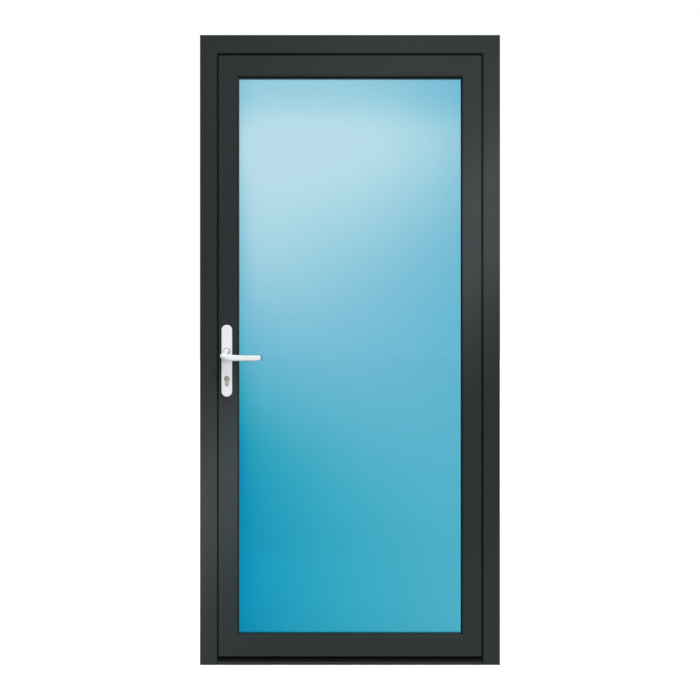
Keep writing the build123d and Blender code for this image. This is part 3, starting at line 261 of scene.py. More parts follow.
class Effects:
    """Shader node groups that more than one finish uses."""

    def __init__(self) -> None:
        """Builds each group once."""
        self.band = self.slanting_band()
        self.patch = self.soft_patch()
        self.grain = self.coat_grain()
        self.mottle = self.cloudy_mottle()
        self.lines = self.drawn_lines()

    @staticmethod
    def slanting_band() -> bpy.types.NodeTree:
        """A soft band across X and Z: exp(-((z - centre - slope x) / width) squared)."""
        group, sheet, start, end = new_group(
            "slanting band",
            [("Vector", "NodeSocketVector", 0.0), ("Centre", "NodeSocketFloat", 1.0),
             ("Slope", "NodeSocketFloat", 1.0), ("Width", "NodeSocketFloat", 0.3)],
            [("Mask", "NodeSocketFloat")],
        )
        parts = sheet.add("ShaderNodeSeparateXYZ")
        sheet.feed(parts.inputs[0], start.outputs["Vector"])
        lean = sheet.sum(Maths.MULTIPLY, parts.outputs["X"], start.outputs["Slope"])
        straight = sheet.sum(Maths.SUBTRACT, parts.outputs["Z"], lean)
        bell = sheet.squared_off(straight, start.outputs["Centre"], start.outputs["Width"])
        sheet.feed(end.inputs["Mask"], sheet.falloff(bell))
        return group

    @staticmethod
    def soft_patch() -> bpy.types.NodeTree:
        """A soft round patch on X and Z: exp(-((x - X) / width)^2 - ((z - Z) / height)^2)."""
        group, sheet, start, end = new_group(
            "soft patch",
            [("Vector", "NodeSocketVector", 0.0), ("X", "NodeSocketFloat", 0.0),
             ("Z", "NodeSocketFloat", 0.0), ("Width", "NodeSocketFloat", 0.5),
             ("Height", "NodeSocketFloat", 0.5)],
            [("Mask", "NodeSocketFloat")],
        )
        parts = sheet.add("ShaderNodeSeparateXYZ")
        sheet.feed(parts.inputs[0], start.outputs["Vector"])
        across = sheet.squared_off(parts.outputs["X"], start.outputs["X"], start.outputs["Width"])
        upright = sheet.squared_off(parts.outputs["Z"], start.outputs["Z"], start.outputs["Height"])
        sheet.feed(end.inputs["Mask"], sheet.falloff(sheet.sum(Maths.ADD, across, upright)))
        return group

    @staticmethod
    def coat_grain() -> bpy.types.NodeTree:
        """Fine beads and dimples of a textured coat: a height, and a mask of the beads' tops."""
        group, sheet, start, end = new_group(
            "coat grain",
            [("Vector", "NodeSocketVector", 0.0), ("Scale", "NodeSocketFloat", 600.0)],
            [("Height", "NodeSocketFloat"), ("Tops", "NodeSocketFloat")],
        )
        cells = sheet.add("ShaderNodeTexVoronoi", feature="SMOOTH_F1")
        cells.inputs["Smoothness"].default_value = 0.6
        noise = sheet.add("ShaderNodeTexNoise")
        noise.inputs["Detail"].default_value = 3.0
        noise.inputs["Roughness"].default_value = 0.6
        for node in (cells, noise):
            sheet.feed(node.inputs["Vector"], start.outputs["Vector"])
        sheet.feed(cells.inputs["Scale"], start.outputs["Scale"])
        sheet.feed(noise.inputs["Scale"], sheet.sum(Maths.MULTIPLY, start.outputs["Scale"], 0.35))
        rise = sheet.sum(Maths.SUBTRACT, 1.0, cells.outputs["Distance"])
        height = sheet.sum(Maths.MULTIPLY, rise, noise.outputs["Fac"])
        sheet.feed(end.inputs["Height"], height)
        tops = sheet.add("ShaderNodeMapRange", interpolation_type="SMOOTHSTEP")
        sheet.feed(tops.inputs["Value"], height)
        tops.inputs["From Min"].default_value = 0.25
        tops.inputs["From Max"].default_value = 0.5
        sheet.feed(end.inputs["Tops"], tops.outputs["Result"])
        return group

    @staticmethod
    def cloudy_mottle() -> bpy.types.NodeTree:
        """Large soft clouds for slow changes of tone and gloss, from 0 to 1 about a half."""
        group, sheet, start, end = new_group(
            "cloudy mottle",
            [("Vector", "NodeSocketVector", 0.0), ("Scale", "NodeSocketFloat", 6.0)],
            [("Share", "NodeSocketFloat")],
        )
        noise = sheet.add("ShaderNodeTexNoise")
        noise.inputs["Detail"].default_value = 4.0
        sheet.feed(noise.inputs["Vector"], start.outputs["Vector"])
        sheet.feed(noise.inputs["Scale"], start.outputs["Scale"])
        sheet.feed(end.inputs["Share"], noise.outputs["Fac"])
        return group

    @staticmethod
    def drawn_lines() -> bpy.types.NodeTree:
        """Fine lines left by drawing or brushing: noise, Across per metre on X and Y and Along on Z."""
        group, sheet, start, end = new_group(
            "drawn lines",
            [("Vector", "NodeSocketVector", 0.0), ("Across", "NodeSocketFloat", 900.0),
             ("Along", "NodeSocketFloat", 12.0)],
            [("Share", "NodeSocketFloat")],
        )
        spread = sheet.add("ShaderNodeCombineXYZ")
        for axis, label in (("X", "Across"), ("Y", "Across"), ("Z", "Along")):
            sheet.feed(spread.inputs[axis], start.outputs[label])
        stretched = sheet.add("ShaderNodeVectorMath", operation="MULTIPLY")
        sheet.feed(stretched.inputs[0], start.outputs["Vector"])
        sheet.feed(stretched.inputs[1], spread.outputs[0])
        noise = sheet.add("ShaderNodeTexNoise")
        noise.inputs["Scale"].default_value = 1.0
        noise.inputs["Detail"].default_value = 2.0
        sheet.feed(noise.inputs["Vector"], stretched.outputs[0])
        sheet.feed(end.inputs["Share"], noise.outputs["Fac"])
        return group


class Finish:
    """What every finish shares: a material with one Principled shader, and a roughness that varies."""

    name: str
    roughness: float
    smoother: float
    rougher: float

    def start(self) -> tuple[bpy.types.Material, NodeSheet, bpy.types.Node]:
        """Makes an empty material.

        Returns:
            The material, its node sheet and its Principled shader.
        """
        material = bpy.data.materials.new(self.name)
        material.use_nodes = True
        sheet = NodeSheet(material.node_tree)
        return material, sheet, material.node_tree.nodes["Principled BSDF"]

    def build(self, effects: Effects) -> bpy.types.Material:
        """Builds the material. Each finish has its own way."""
        raise NotImplementedError

    @staticmethod
    def group(sheet: NodeSheet, tree: bpy.types.NodeTree, **inputs: object) -> bpy.types.Node:
        """Places a node group.

        Args:
            sheet: where it goes.
            tree: the group.
            inputs: values or sockets by the names of the group's inputs.

        Returns:
            The group's node.
        """
        node = sheet.add("ShaderNodeGroup", node_tree=tree)
        for label, value in inputs.items():
            sheet.feed(node.inputs[label], value)
        return node

    def roughen(self, sheet: NodeSheet, shader: bpy.types.Node, share: Socket) -> None:
        """Varies the roughness with a share, from smoother to rougher than the finish's own."""
        low, high = self.roughness - self.smoother, self.roughness + self.rougher
        sheet.feed(shader.inputs["Roughness"], sheet.between(share, low, high))

    @staticmethod
    def bump(sheet: NodeSheet, shader: bpy.types.Node, height: Socket, depth: float) -> None:
        """Raises the surface.

        Args:
            sheet, shader: the material's sheet and shader.
            height: the socket of the height, from 0 to 1.
            depth: what a height of 1 is, in metres.
        """
        node = sheet.add("ShaderNodeBump")
        node.inputs["Distance"].default_value = depth
        sheet.feed(node.inputs["Height"], height)
        sheet.feed(shader.inputs["Normal"], node.outputs["Normal"])


@dataclass(frozen=True)
class PowderCoat(Finish):
    """Anthracite powder coat with a fine texture.

    Painted sheen lightens its tone along a soft band that runs up to the right and in a patch near the top.
    Painted light from the floor lightens it towards the foot, and painted highlights sit on the tops of its
    beads. The share of the painted sheen tone is band + patch share patch + foot share foot.
    """

    name: str = "anthracite_powder_coat"
    dark: Colour = colour(37, 42, 42)
    # the colour of the painted sheen, the painted light from the floor and the painted highlights on the
    # beads
    sheen: Colour = colour(64, 69, 70)
    grain_scale: float = 700.0
    grain_depth: float = 0.00006
    roughness: float = 0.5
    specular: float = 0.08
    # where the painted sheen and the painted light from the floor lie
    band_centre: float = 1.015
    band_slope: float = 0.995
    band_width: float = 0.31
    patch_share: float = 0.32
    patch_place: tuple[float, float] = (0.2, 1.92)
    patch_size: tuple[float, float] = (0.51, 0.53)
    foot_share: float = 0.28
    foot_height: float = 0.44
    foot_width: float = 50.0
    cloud_scale: float = 5.0
    speck_share: float = 0.25
    smoother: float = 0.08
    rougher: float = 0.08

    def build(self, effects: Effects) -> bpy.types.Material:
        """Builds the material."""
        material, sheet, shader = self.start()
        place = sheet.place()
        band = self.group(
            sheet, effects.band, Vector=place, Centre=self.band_centre, Slope=self.band_slope,
            Width=self.band_width,
        )
        patch = self.group(
            sheet, effects.patch, Vector=place, X=self.patch_place[0], Z=self.patch_place[1],
            Width=self.patch_size[0], Height=self.patch_size[1],
        )
        foot = self.group(
            sheet, effects.patch, Vector=place, Width=self.foot_width, Height=self.foot_height,
        )
        cloud = self.group(sheet, effects.mottle, Vector=place, Scale=self.cloud_scale)
        grain = self.group(sheet, effects.grain, Vector=place, Scale=self.grain_scale)
        # painted sheen in the band and the top patch, and painted light from the floor at the foot
        light = sheet.sum(Maths.MULTIPLY, patch.outputs["Mask"], self.patch_share)
        light = sheet.sum(Maths.ADD, light, sheet.sum(Maths.MULTIPLY, foot.outputs["Mask"], self.foot_share))
        light = sheet.sum(Maths.ADD, light, band.outputs["Mask"])
        tone = sheet.blend(light, self.dark, self.sheen)
        # painted highlights on the tops of the grain's beads
        speck_highlights = sheet.sum(Maths.MULTIPLY, grain.outputs["Tops"], self.speck_share)
        sheet.feed(shader.inputs["Base Color"], sheet.blend(speck_highlights, tone, self.sheen))
        self.roughen(sheet, shader, cloud.outputs["Share"])
        shader.inputs["Specular IOR Level"].default_value = self.specular
        self.bump(sheet, shader, grain.outputs["Height"], self.grain_depth)
        return material


@dataclass(frozen=True)
class Lacquer(Finish):
    """Smooth white lacquer with a faint orange peel under a clear coat."""

    name: str = "white_lacquer"
    tone: Colour = colour(233, 234, 236)
    shade: Colour = colour(226, 227, 229)
    roughness: float = 0.32
    smoother: float = 0.05
    rougher: float = 0.05
    coat: float = 0.35
    coat_roughness: float = 0.12
    cloud_scale: float = 14.0
    peel_scale: float = 420.0
    peel_depth: float = 0.00002

    def build(self, effects: Effects) -> bpy.types.Material:
        """Builds the material."""
        material, sheet, shader = self.start()
        place = sheet.place()
        cloud = self.group(sheet, effects.mottle, Vector=place, Scale=self.cloud_scale)
        peel = self.group(sheet, effects.mottle, Vector=place, Scale=self.peel_scale)
        sheet.feed(shader.inputs["Base Color"], sheet.blend(cloud.outputs["Share"], self.tone, self.shade))
        self.roughen(sheet, shader, cloud.outputs["Share"])
        shader.inputs["Coat Weight"].default_value = self.coat
        shader.inputs["Coat Roughness"].default_value = self.coat_roughness
        self.bump(sheet, shader, peel.outputs["Share"], self.peel_depth)
        return material


@dataclass(frozen=True)
class DrawnMetal(Finish):
    """Drawn or brushed metal with fine lines along Z."""

    name: str
    tone: Colour
    shade: Colour
    roughness: float
    across: float = 900.0
    along: float = 10.0
    metallic: float = 1.0
    cloud_scale: float = 30.0
    shade_gain: float = 2.2
    smoother: float = 0.1
    rougher: float = 0.12
    line_depth: float = 0.00001

    def tint(self, sheet: NodeSheet, plain: Socket) -> Socket:
        """Returns the socket of the metal's colour, given that of its open faces."""
        return plain

    def build(self, effects: Effects) -> bpy.types.Material:
        """Builds the material."""
        material, sheet, shader = self.start()
        place = sheet.place()
        lines = self.group(sheet, effects.lines, Vector=place, Across=self.across, Along=self.along)
        cloud = self.group(sheet, effects.mottle, Vector=place, Scale=self.cloud_scale)
        share = sheet.sum(Maths.MULTIPLY, lines.outputs["Share"], cloud.outputs["Share"])
        plain = sheet.blend(sheet.sum(Maths.MULTIPLY, share, self.shade_gain), self.tone, self.shade)
        sheet.feed(shader.inputs["Base Color"], self.tint(sheet, plain))
        shader.inputs["Metallic"].default_value = self.metallic
        self.roughen(sheet, shader, lines.outputs["Share"])
        self.bump(sheet, shader, lines.outputs["Share"], self.line_depth)
        return material


@dataclass(frozen=True, kw_only=True)
class LockMetal(DrawnMetal):
    """Metal of the lock cylinder: bright on its two end faces, with painted shade in the keyway and on the
    sides behind the chamfers.

    The painted shade ends and the bright metal starts at the given |y|, in metres.
    """

    painted_shade_ends: float
    softness: float = 0.00008
    # the colour of the painted shade
    dark: Colour = (0.02, 0.02, 0.02)

    def tint(self, sheet: NodeSheet, plain: Socket) -> Socket:
        """Returns the socket of the colour, with painted shade where |y| is less than the depth where the
        bright metal starts.
        """
        parts = sheet.add("ShaderNodeSeparateXYZ")
        sheet.feed(parts.inputs[0], sheet.place())
        depth = sheet.sum(Maths.ABSOLUTE, parts.outputs["Y"])
        return sheet.blend(sheet.rise(depth, self.painted_shade_ends, self.softness), self.dark, plain)


@dataclass(frozen=True)
class Rubber(Finish):
    """Black extruded rubber: matt, finely pitted, with a greyish bloom."""

    name: str = "black_rubber"
    tone: Colour = colour(5, 5, 6)
    bloom: Colour = colour(15, 15, 16)
    bloom_power: float = 2.0
    roughness: float = 0.62
    smoother: float = 0.08
    rougher: float = 0.1
    specular: float = 0.05
    cloud_scale: float = 22.0
    pit_scale: float = 900.0
    pit_depth: float = 0.00002

    def tint(self, sheet: NodeSheet, black: Socket) -> Socket:
        """Returns the socket of the rubber's colour, given that of plain black rubber."""
        return black

    def build(self, effects: Effects) -> bpy.types.Material:
        """Builds the material."""
        material, sheet, shader = self.start()
        place = sheet.place()
        cloud = self.group(sheet, effects.mottle, Vector=place, Scale=self.cloud_scale)
        pits = self.group(sheet, effects.mottle, Vector=place, Scale=self.pit_scale)
        bloomed = sheet.sum(Maths.POWER, cloud.outputs["Share"], self.bloom_power)
        black = sheet.blend(bloomed, self.tone, self.bloom)
        sheet.feed(shader.inputs["Base Color"], self.tint(sheet, black))
        self.roughen(sheet, shader, cloud.outputs["Share"])
        shader.inputs["Specular IOR Level"].default_value = self.specular
        self.bump(sheet, shader, pits.outputs["Share"], self.pit_depth)
        return material


@dataclass(frozen=True, kw_only=True)
class SightRubber(Rubber):
    """Rubber of the outer glazing seal: black at the top and right, with painted light in the coat's tone at
    left and bottom.

    The tone changes at the mitres, where min(half width + x, z - bottom) = min(half width - x, top - z),
    with the sight line's half width, bottom and top in metres.
    """

    name: str = "sight_rubber_painted_light"
    # the tone of the painted light on the left and bottom legs
    painted_lit_tone: Colour = colour(46, 51, 51)
    half_width: float
    bottom: float
    top: float
    softness: float = 0.0004

    def tint(self, sheet: NodeSheet, black: Socket) -> Socket:
        """Returns the socket of the colour, with painted light in the lit coat's tone on the left and the
        bottom.
        """
        parts = sheet.add("ShaderNodeSeparateXYZ")
        sheet.feed(parts.inputs[0], sheet.place())
        x, z = parts.outputs["X"], parts.outputs["Z"]
        from_left = sheet.sum(Maths.ADD, x, self.half_width)
        from_right = sheet.sum(Maths.SUBTRACT, self.half_width, x)
        from_bottom = sheet.sum(Maths.SUBTRACT, z, self.bottom)
        from_top = sheet.sum(Maths.SUBTRACT, self.top, z)
        near = sheet.sum(Maths.MINIMUM, from_left, from_bottom)
        far = sheet.sum(Maths.MINIMUM, from_right, from_top)
        # painted light: the lit tone on the left and bottom legs, black on the top and right
        share = sheet.rise(sheet.sum(Maths.SUBTRACT, far, near), 0.0, self.softness)
        return sheet.blend(share, black, self.painted_lit_tone)


@dataclass(frozen=True)
class Polyamide(Finish):
    """Black glass-filled plastic with a dull, slightly fibrous surface."""

    name: str = "black_polyamide"
    tone: Colour = colour(12, 12, 13)
    fibre: Colour = colour(26, 26, 27)
    fibre_power: float = 4.0
    fibre_depth: float = 0.00002
    across: float = 1400.0
    along: float = 160.0
    roughness: float = 0.55
    smoother: float = 0.1
    rougher: float = 0.1
    specular: float = 0.2

    def build(self, effects: Effects) -> bpy.types.Material:
        """Builds the material."""
        material, sheet, shader = self.start()
        place = sheet.place()
        lines = self.group(sheet, effects.lines, Vector=place, Across=self.across, Along=self.along)
        fibres = sheet.sum(Maths.POWER, lines.outputs["Share"], self.fibre_power)
        sheet.feed(shader.inputs["Base Color"], sheet.blend(fibres, self.tone, self.fibre))
        self.roughen(sheet, shader, lines.outputs["Share"])
        shader.inputs["Specular IOR Level"].default_value = self.specular
        self.bump(sheet, shader, lines.outputs["Share"], self.fibre_depth)
        return material


@dataclass(frozen=True)
class TintedGlass(Finish):
    """Blue glass with a painted reflection of sky: deep blue low on the lock side, rising to a pale painted
    highlight near the top.

    With x and z in metres, e(x) = x - edge, s(v) = 1 / (1 + exp(-v)) and g(v) = exp(-v^2), the share of the
    painted reflection is low (1 - step) + high step + patch - top band - edge band, where low = floor +
    spread (1 - exp(-e(x) / run)), step = s((z - middle - lean x) / softness), high = level + slope x, patch
    = strength g((x - patch x) / width) g((z - patch z) / height), top band = depth s((z - band z) / band
    softness), edge band = depth exp(-e(x) / band width) g((z - band z) / band height).
    """

    name: str = "blue_glass"
    # the glass's deep blue, lightening to the pale of the painted reflection
    tints: tuple[Colour, ...] = (
        colour(0, 145, 189), colour(30, 162, 197), colour(56, 177, 202), colour(89, 187, 211),
        colour(113, 194, 222), colour(133, 199, 223), colour(165, 215, 233), colour(205, 233, 243),
    )
    edge: float = -0.374
    low_floor: float = 0.039
    low_spread: float = 0.5
    low_run: float = 0.6
    step_middle: float = 0.805
    step_lean: float = -0.398
    step_softness: float = 0.159
    high_level: float = 0.733
    high_slope: float = -0.492
    patch_strength: float = 0.341
    patch_place: tuple[float, float] = (0.2, 1.9)
    patch_size: tuple[float, float] = (0.606, 0.54)
    top_depth: float = 0.207
    top_place: float = 1.841
    top_softness: float = 0.036
    side_depth: float = 0.217
    side_run: float = 0.029
    side_place: float = 1.091
    side_height: float = 0.963
    transmission: float = 0.86
    specular: float = 0.2
    mirror_tint: Colour = (0.08, 0.7, 1.0)
    ior: float = 1.5
    cloud_scale: float = 3.0
    roughness: float = 0.03
    smoother: float = 0.02
    rougher: float = 0.02

    def painted_reflection(self, sheet: NodeSheet, patch_group: bpy.types.NodeTree) -> Socket:
        """Works out the share of painted reflection over the pane.

        Args:
            sheet: where the nodes go.
            patch_group: the soft patch.

        Returns:
            The share's socket.
        """
        parts = sheet.add("ShaderNodeSeparateXYZ")
        sheet.feed(parts.inputs[0], sheet.place())
        x, z = parts.outputs["X"], parts.outputs["Z"]
        from_edge = sheet.sum(Maths.SUBTRACT, x, self.edge)
        fall = sheet.falloff(sheet.sum(Maths.DIVIDE, from_edge, self.low_run))
        low = sheet.sum(Maths.MULTIPLY, sheet.sum(Maths.SUBTRACT, 1.0, fall), self.low_spread)
        low = sheet.sum(Maths.ADD, low, self.low_floor)
        lean = sheet.sum(Maths.MULTIPLY, x, self.step_lean)
        step = sheet.rise(sheet.sum(Maths.SUBTRACT, z, lean), self.step_middle, self.step_softness)
        high = sheet.sum(Maths.ADD, sheet.sum(Maths.MULTIPLY, x, self.high_slope), self.high_level)
        climb = sheet.sum(Maths.MULTIPLY, sheet.sum(Maths.SUBTRACT, high, low), step)
        share = sheet.sum(Maths.ADD, low, climb)
        patch = self.group(
            sheet, patch_group, Vector=sheet.place(), X=self.patch_place[0], Z=self.patch_place[1],
            Width=self.patch_size[0], Height=self.patch_size[1],
        )
        patch = sheet.sum(Maths.MULTIPLY, patch.outputs["Mask"], self.patch_strength)
        share = sheet.sum(Maths.ADD, share, patch)
        top = sheet.sum(Maths.MULTIPLY, sheet.rise(z, self.top_place, self.top_softness), self.top_depth)
        share = sheet.sum(Maths.SUBTRACT, share, top)
        near = sheet.sum(Maths.DIVIDE, from_edge, self.side_run)
        off = sheet.squared_off(z, self.side_place, self.side_height)
        side = sheet.falloff(sheet.sum(Maths.ADD, near, off))
        return sheet.sum(Maths.SUBTRACT, share, sheet.sum(Maths.MULTIPLY, side, self.side_depth))

    def build(self, effects: Effects) -> bpy.types.Material:
        """Builds the material."""
        material, sheet, shader = self.start()
        share = self.painted_reflection(sheet, effects.patch)
        # the painted reflection picks its colour from the ramp
        sheet.feed(shader.inputs["Base Color"], sheet.ramp(share, self.tints))
        cloud = self.group(sheet, effects.mottle, Vector=sheet.place(), Scale=self.cloud_scale)
        self.roughen(sheet, shader, cloud.outputs["Share"])
        shader.inputs["IOR"].default_value = self.ior
        shader.inputs["Transmission Weight"].default_value = self.transmission
        shader.inputs["Specular IOR Level"].default_value = self.specular
        shader.inputs["Specular Tint"].default_value = (*self.mirror_tint, 1.0)
        return material


@dataclass(frozen=True)
class ClearGlass(Finish):
    """Clear float glass with a trace of green, its tone and roughness changing faintly in soft clouds."""

    name: str = "clear_glass"
    tone: Colour = (0.93, 0.975, 0.97)
    shade: Colour = (0.9, 0.96, 0.95)
    ior: float = 1.5
    cloud_scale: float = 4.0
    roughness: float = 0.01
    smoother: float = 0.01
    rougher: float = 0.01

    def build(self, effects: Effects) -> bpy.types.Material:
        """Builds the material."""
        material, sheet, shader = self.start()
        cloud = self.group(sheet, effects.mottle, Vector=sheet.place(), Scale=self.cloud_scale)
        sheet.feed(shader.inputs["Base Color"], sheet.blend(cloud.outputs["Share"], self.tone, self.shade))
        self.roughen(sheet, shader, cloud.outputs["Share"])
        shader.inputs["IOR"].default_value = self.ior
        shader.inputs["Transmission Weight"].default_value = 1.0
        return material


def mesh_piece(name: str, points: np.ndarray, faces: list[list[int]], smooth: bool) -> bpy.types.Object:
    """Makes a mesh object at the origin.

    Args:
        name: the piece's name.
        points: rows of x, y, z in metres.
        faces: point numbers of each face.
        smooth: whether the faces are shaded smooth.

    Returns:
        The new object.
    """
    mesh = bpy.data.meshes.new(name)
    mesh.from_pydata(points.tolist(), [], faces)
    mesh.polygons.foreach_set("use_smooth", np.full(len(mesh.polygons), smooth))
    mesh.update()
    piece = bpy.data.objects.new(name, mesh)
    bpy.context.scene.collection.objects.link(piece)
    return piece


def grid_faces(rows: int, columns: int, close_rows: bool) -> list[list[int]]:
    """Quads of a grid of points whose columns close on themselves.

    Args:
        rows: number of rows, one for each place along the path.
        columns: number of points round the section.
        close_rows: whether the last row joins the first.

    Returns:
        The quads, as point numbers.
    """
    last = rows if close_rows else rows - 1
    row, column = np.meshgrid(np.arange(last), np.arange(columns), indexing="ij")
    next_row, next_column = (row + 1) % rows, (column + 1) % columns
    quads = np.stack(
        [row * columns + column, row * columns + next_column,
         next_row * columns + next_column, next_row * columns + column], axis=-1
    )
    return quads.reshape(-1, 4).tolist()


def arc(centre: tuple[float, float], radius: float, start: float, end: float, steps: int) -> np.ndarray:
    """Points on an arc: centre + radius (cos a, sin a), with a from start to end in degrees."""
    angle = np.radians(np.linspace(start, end, steps))
    return np.stack([centre[0] + radius * np.cos(angle), centre[1] + radius * np.sin(angle)], axis=1)


@dataclass
class FrameSweep:
    """Carries a section round a rectangle with mitred corners.

    A section point (u, y) lies u outside the rectangle and at depth y, so at each corner it stands at
    (+-(half width + u), y, top + u or bottom - u). Where the path is open, its legs end at a height.
    """

    half_width: float
    bottom: float
    top: float
    open_at: float | None = None

    def piece(self, name: str, section: np.ndarray, over: np.ndarray | None = None) -> bpy.types.Object:
        """Builds the swept piece.

        Args:
            name: the piece's name.
            section: rows of u and y in millimetres, anticlockwise seen along the path.
            over: the values of u along the top, where they differ.

        Returns:
            The new object.
        """
        u, y = section[:, 0], section[:, 1]
        side = self.half_width + u
        low = self.bottom - u if self.open_at is None else np.full_like(u, self.open_at)
        high = self.top + (u if over is None else over)
        corners = [(-side, low), (-side, high), (side, high), (side, low)]
        points = np.concatenate([np.stack([x, y, z], axis=1) for x, z in corners]) * MM
        count = len(section)
        closed = self.open_at is None
        faces = grid_faces(4, count, closed)
        if not closed:
            faces.append(list(range(count))[::-1])
            faces.append(list(range(3 * count, 4 * count)))
        return mesh_piece(name, points, faces, smooth=False)


def straight_sweep(name: str, section: np.ndarray, x0: float, x1: float) -> bpy.types.Object:
    """Carries a section of (y, z) rows in millimetres straight along X, with flat ends.

    Args:
        name: the piece's name.
        section: rows of y and z.
        x0, x1: where the piece starts and ends, in millimetres.

    Returns:
        The new object.
    """
    count = len(section)
    ends = [np.column_stack([np.full(count, x), section]) for x in (x0, x1)]
    faces = grid_faces(2, count, False)
    faces += [list(range(count))[::-1], list(range(count, 2 * count))]
    return mesh_piece(name, np.concatenate(ends) * MM, faces, smooth=False)


def face_outwards(piece: bpy.types.Object) -> bpy.types.Object:
    """Turns every face of a closed piece outwards, and returns the piece."""
    shape = bmesh.new()
    shape.from_mesh(piece.data)
    bmesh.ops.recalc_face_normals(shape, faces=shape.faces)
    shape.to_mesh(piece.data)
    shape.free()
    piece.data.update()
    return piece


def shade_by_angle(piece: bpy.types.Object, degrees: float = 35.0) -> bpy.types.Object:
    """Shades gentle bends smooth and keeps sharp edges, and returns the piece."""
    piece.data.polygons.foreach_set("use_smooth", np.full(len(piece.data.polygons), True))
    piece.data.set_sharp_from_angle(angle=float(np.radians(degrees)))
    return piece


@dataclass
class Seals:
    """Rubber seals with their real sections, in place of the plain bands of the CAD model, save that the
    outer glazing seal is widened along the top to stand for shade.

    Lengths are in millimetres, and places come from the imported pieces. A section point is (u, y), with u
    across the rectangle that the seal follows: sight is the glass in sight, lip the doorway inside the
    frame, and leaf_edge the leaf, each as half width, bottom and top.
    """

    glazing_foot: float = 9.0
    # how far the black seal reaches over the top bevel to stand for its shade, in millimetres
    shade_lap: float = 3.6
    made: list[bpy.types.Object] = field(default_factory=list)

    def __post_init__(self) -> None:
        """Works out the rectangles and the faces that the seals stand on."""
        low, high = span("outer_glazing_gasket")
        foot = self.glazing_foot
        self.sight = (high[0] - foot, low[2] + foot, high[2] - foot)
        self.lip = (-span("lock_jamb_outer_shell")[1][0], 0.0, span("head_outer_shell")[0][2])
        low, high = span("hinge_stile_inner_shell")
        self.leaf_edge = (high[0], low[2], high[2])
        self.glass_front = span("glass_outer_pane")[0][1]
        self.glass_back = span("glass_inner_pane")[1][1]

    def keep(self, piece: bpy.types.Object, node: str, body: str, material: bpy.types.Material) -> None:
        """Finishes a seal and lets it stand for its CAD node.

        Args:
            piece: the seal.
            node: the CAD node that it stands for.
            body: the body that it rides on.
            material: its material.
        """
        shade_by_angle(face_outwards(piece))
        piece.data.materials.append(material)
        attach(piece, body)
        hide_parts(node)
        self.made.append(piece)

    def outer_glazing(self) -> bpy.types.Object:
        """The gasket in front of the glass: a flat foot under the lip, and a sloping wedge that shows.

        Along the top the wedge laps over the rail's bevel as black rubber standing for the bevel's shade, so
        there u grows by the seal's widening along the top times min(u / wedge, 1).
        """
        foot, wedge, glass = self.glazing_foot, 3.4, self.glass_front
        section = np.concatenate([
            [(0.0, glass), (foot, glass), (foot, glass - 4.0), (wedge + 0.1, glass - 4.0),
             (wedge, glass - 6.7)],
            arc((wedge - 0.5, glass - 6.7), 0.5, 0, -120, 7),
            arc((0.4, glass - 0.9), 0.4, -150, -180, 3),
        ])
        # the black widening along the top stands for the bevel's shade
        over = section[:, 0] + self.shade_lap * np.minimum(section[:, 0] / wedge, 1.0)
        return FrameSweep(*self.sight).piece("outer_glazing_seal", section, over)

    def inner_glazing(self) -> bpy.types.Object:
        """The gasket between the glass and the beads, with a rounded edge in sight."""
        foot, nose, glass = self.glazing_foot, 1.6, self.glass_back
        section = np.concatenate([
            [(foot, glass), (foot, glass + 4.0), (nose, glass + 4.0)],
            arc((nose, glass + 4.0 - nose), nose, 90, 180, 6),
            [(0.3, glass + 0.9), (0.8, glass)],
        ])
        return FrameSweep(*self.sight).piece("inner_glazing_seal", section)

    def frame_stop(self) -> bpy.types.Object:
        """The frame's stop gasket: a foot in the lip's groove, a waist and a round bulb."""
        groove, face, middle = span("frame_gasket")[0][1], span("head_outer_shell")[1][1], 10.0
        section = np.concatenate([
            [(middle - 2.0, groove), (middle + 2.0, groove), (middle + 2.0, face),
             (middle + 1.3, face + 0.3)],
            arc((middle, face + 1.7), 1.98, -30, 210, 17),
            [(middle - 1.3, face + 0.3), (middle - 2.0, face)],
        ])
        foot_height = span("frame_gasket")[0][2]
        return FrameSweep(*self.lip, open_at=foot_height).piece("frame_stop_seal", section)

    def leaf_stop(self) -> bpy.types.Object:
        """The leaf's own gasket: a foot in the flange's groove, and a round bulb against the frame's lip."""
        groove, middle = span("leaf_gasket")[1][1], -10.5
        section = np.concatenate([
            [(middle - 2.0, groove), (middle - 2.0, groove - 1.0), (middle - 1.4, groove - 1.3)],
            arc((middle, groove - 2.75), 1.95, 130, 410, 19),
            [(middle + 1.4, groove - 1.3), (middle + 2.0, groove - 1.0), (middle + 2.0, groove)],
        ])
        foot_height = span("leaf_gasket")[0][2]
        return FrameSweep(*self.leaf_edge, open_at=foot_height).piece("leaf_stop_seal", section)

    def under_leaf(self) -> list[bpy.types.Object]:
        """The seal under the leaf: a foot with two curved fins, and a front apron with a rolled edge."""
        fins = np.array([
            (-5.0, 32.0), (-5.0, 26.0), (-5.0, 24.0), (-4.7, 22.5), (-4.0, 20.9), (-3.3, 20.3), (-2.7, 20.5),
            (-2.9, 21.4), (-3.1, 23.0), (-2.6, 25.4), (-2.0, 27.4), (0.0, 29.0), (9.5, 29.0), (12.0, 27.6),
            (12.3, 25.4), (12.0, 23.0), (11.8, 21.0), (12.2, 20.3), (13.2, 20.4), (14.3, 21.4),
            (14.9, 23.2), (15.0, 26.0), (15.0, 32.0),
        ])
        bottom, front = self.leaf_edge[1], span("bottom_seal")[0][1]
        apron = np.concatenate([
            [(-5.0, bottom), (front, bottom)],
            arc((front + 1.3, bottom - 5.4), 1.3, 180, 300, 6),
            [(-10.0, bottom - 5.6), (-9.2, bottom - 3.4), (-5.0, bottom - 2.8)],
        ])
        reach, apron_reach = span("bottom_seal")[1][0], self.lip[0] - 4.5
        return [
            straight_sweep("threshold_fin_seal", fins, -reach, reach),
            straight_sweep("threshold_apron_seal", apron, -apron_reach, apron_reach),
        ]

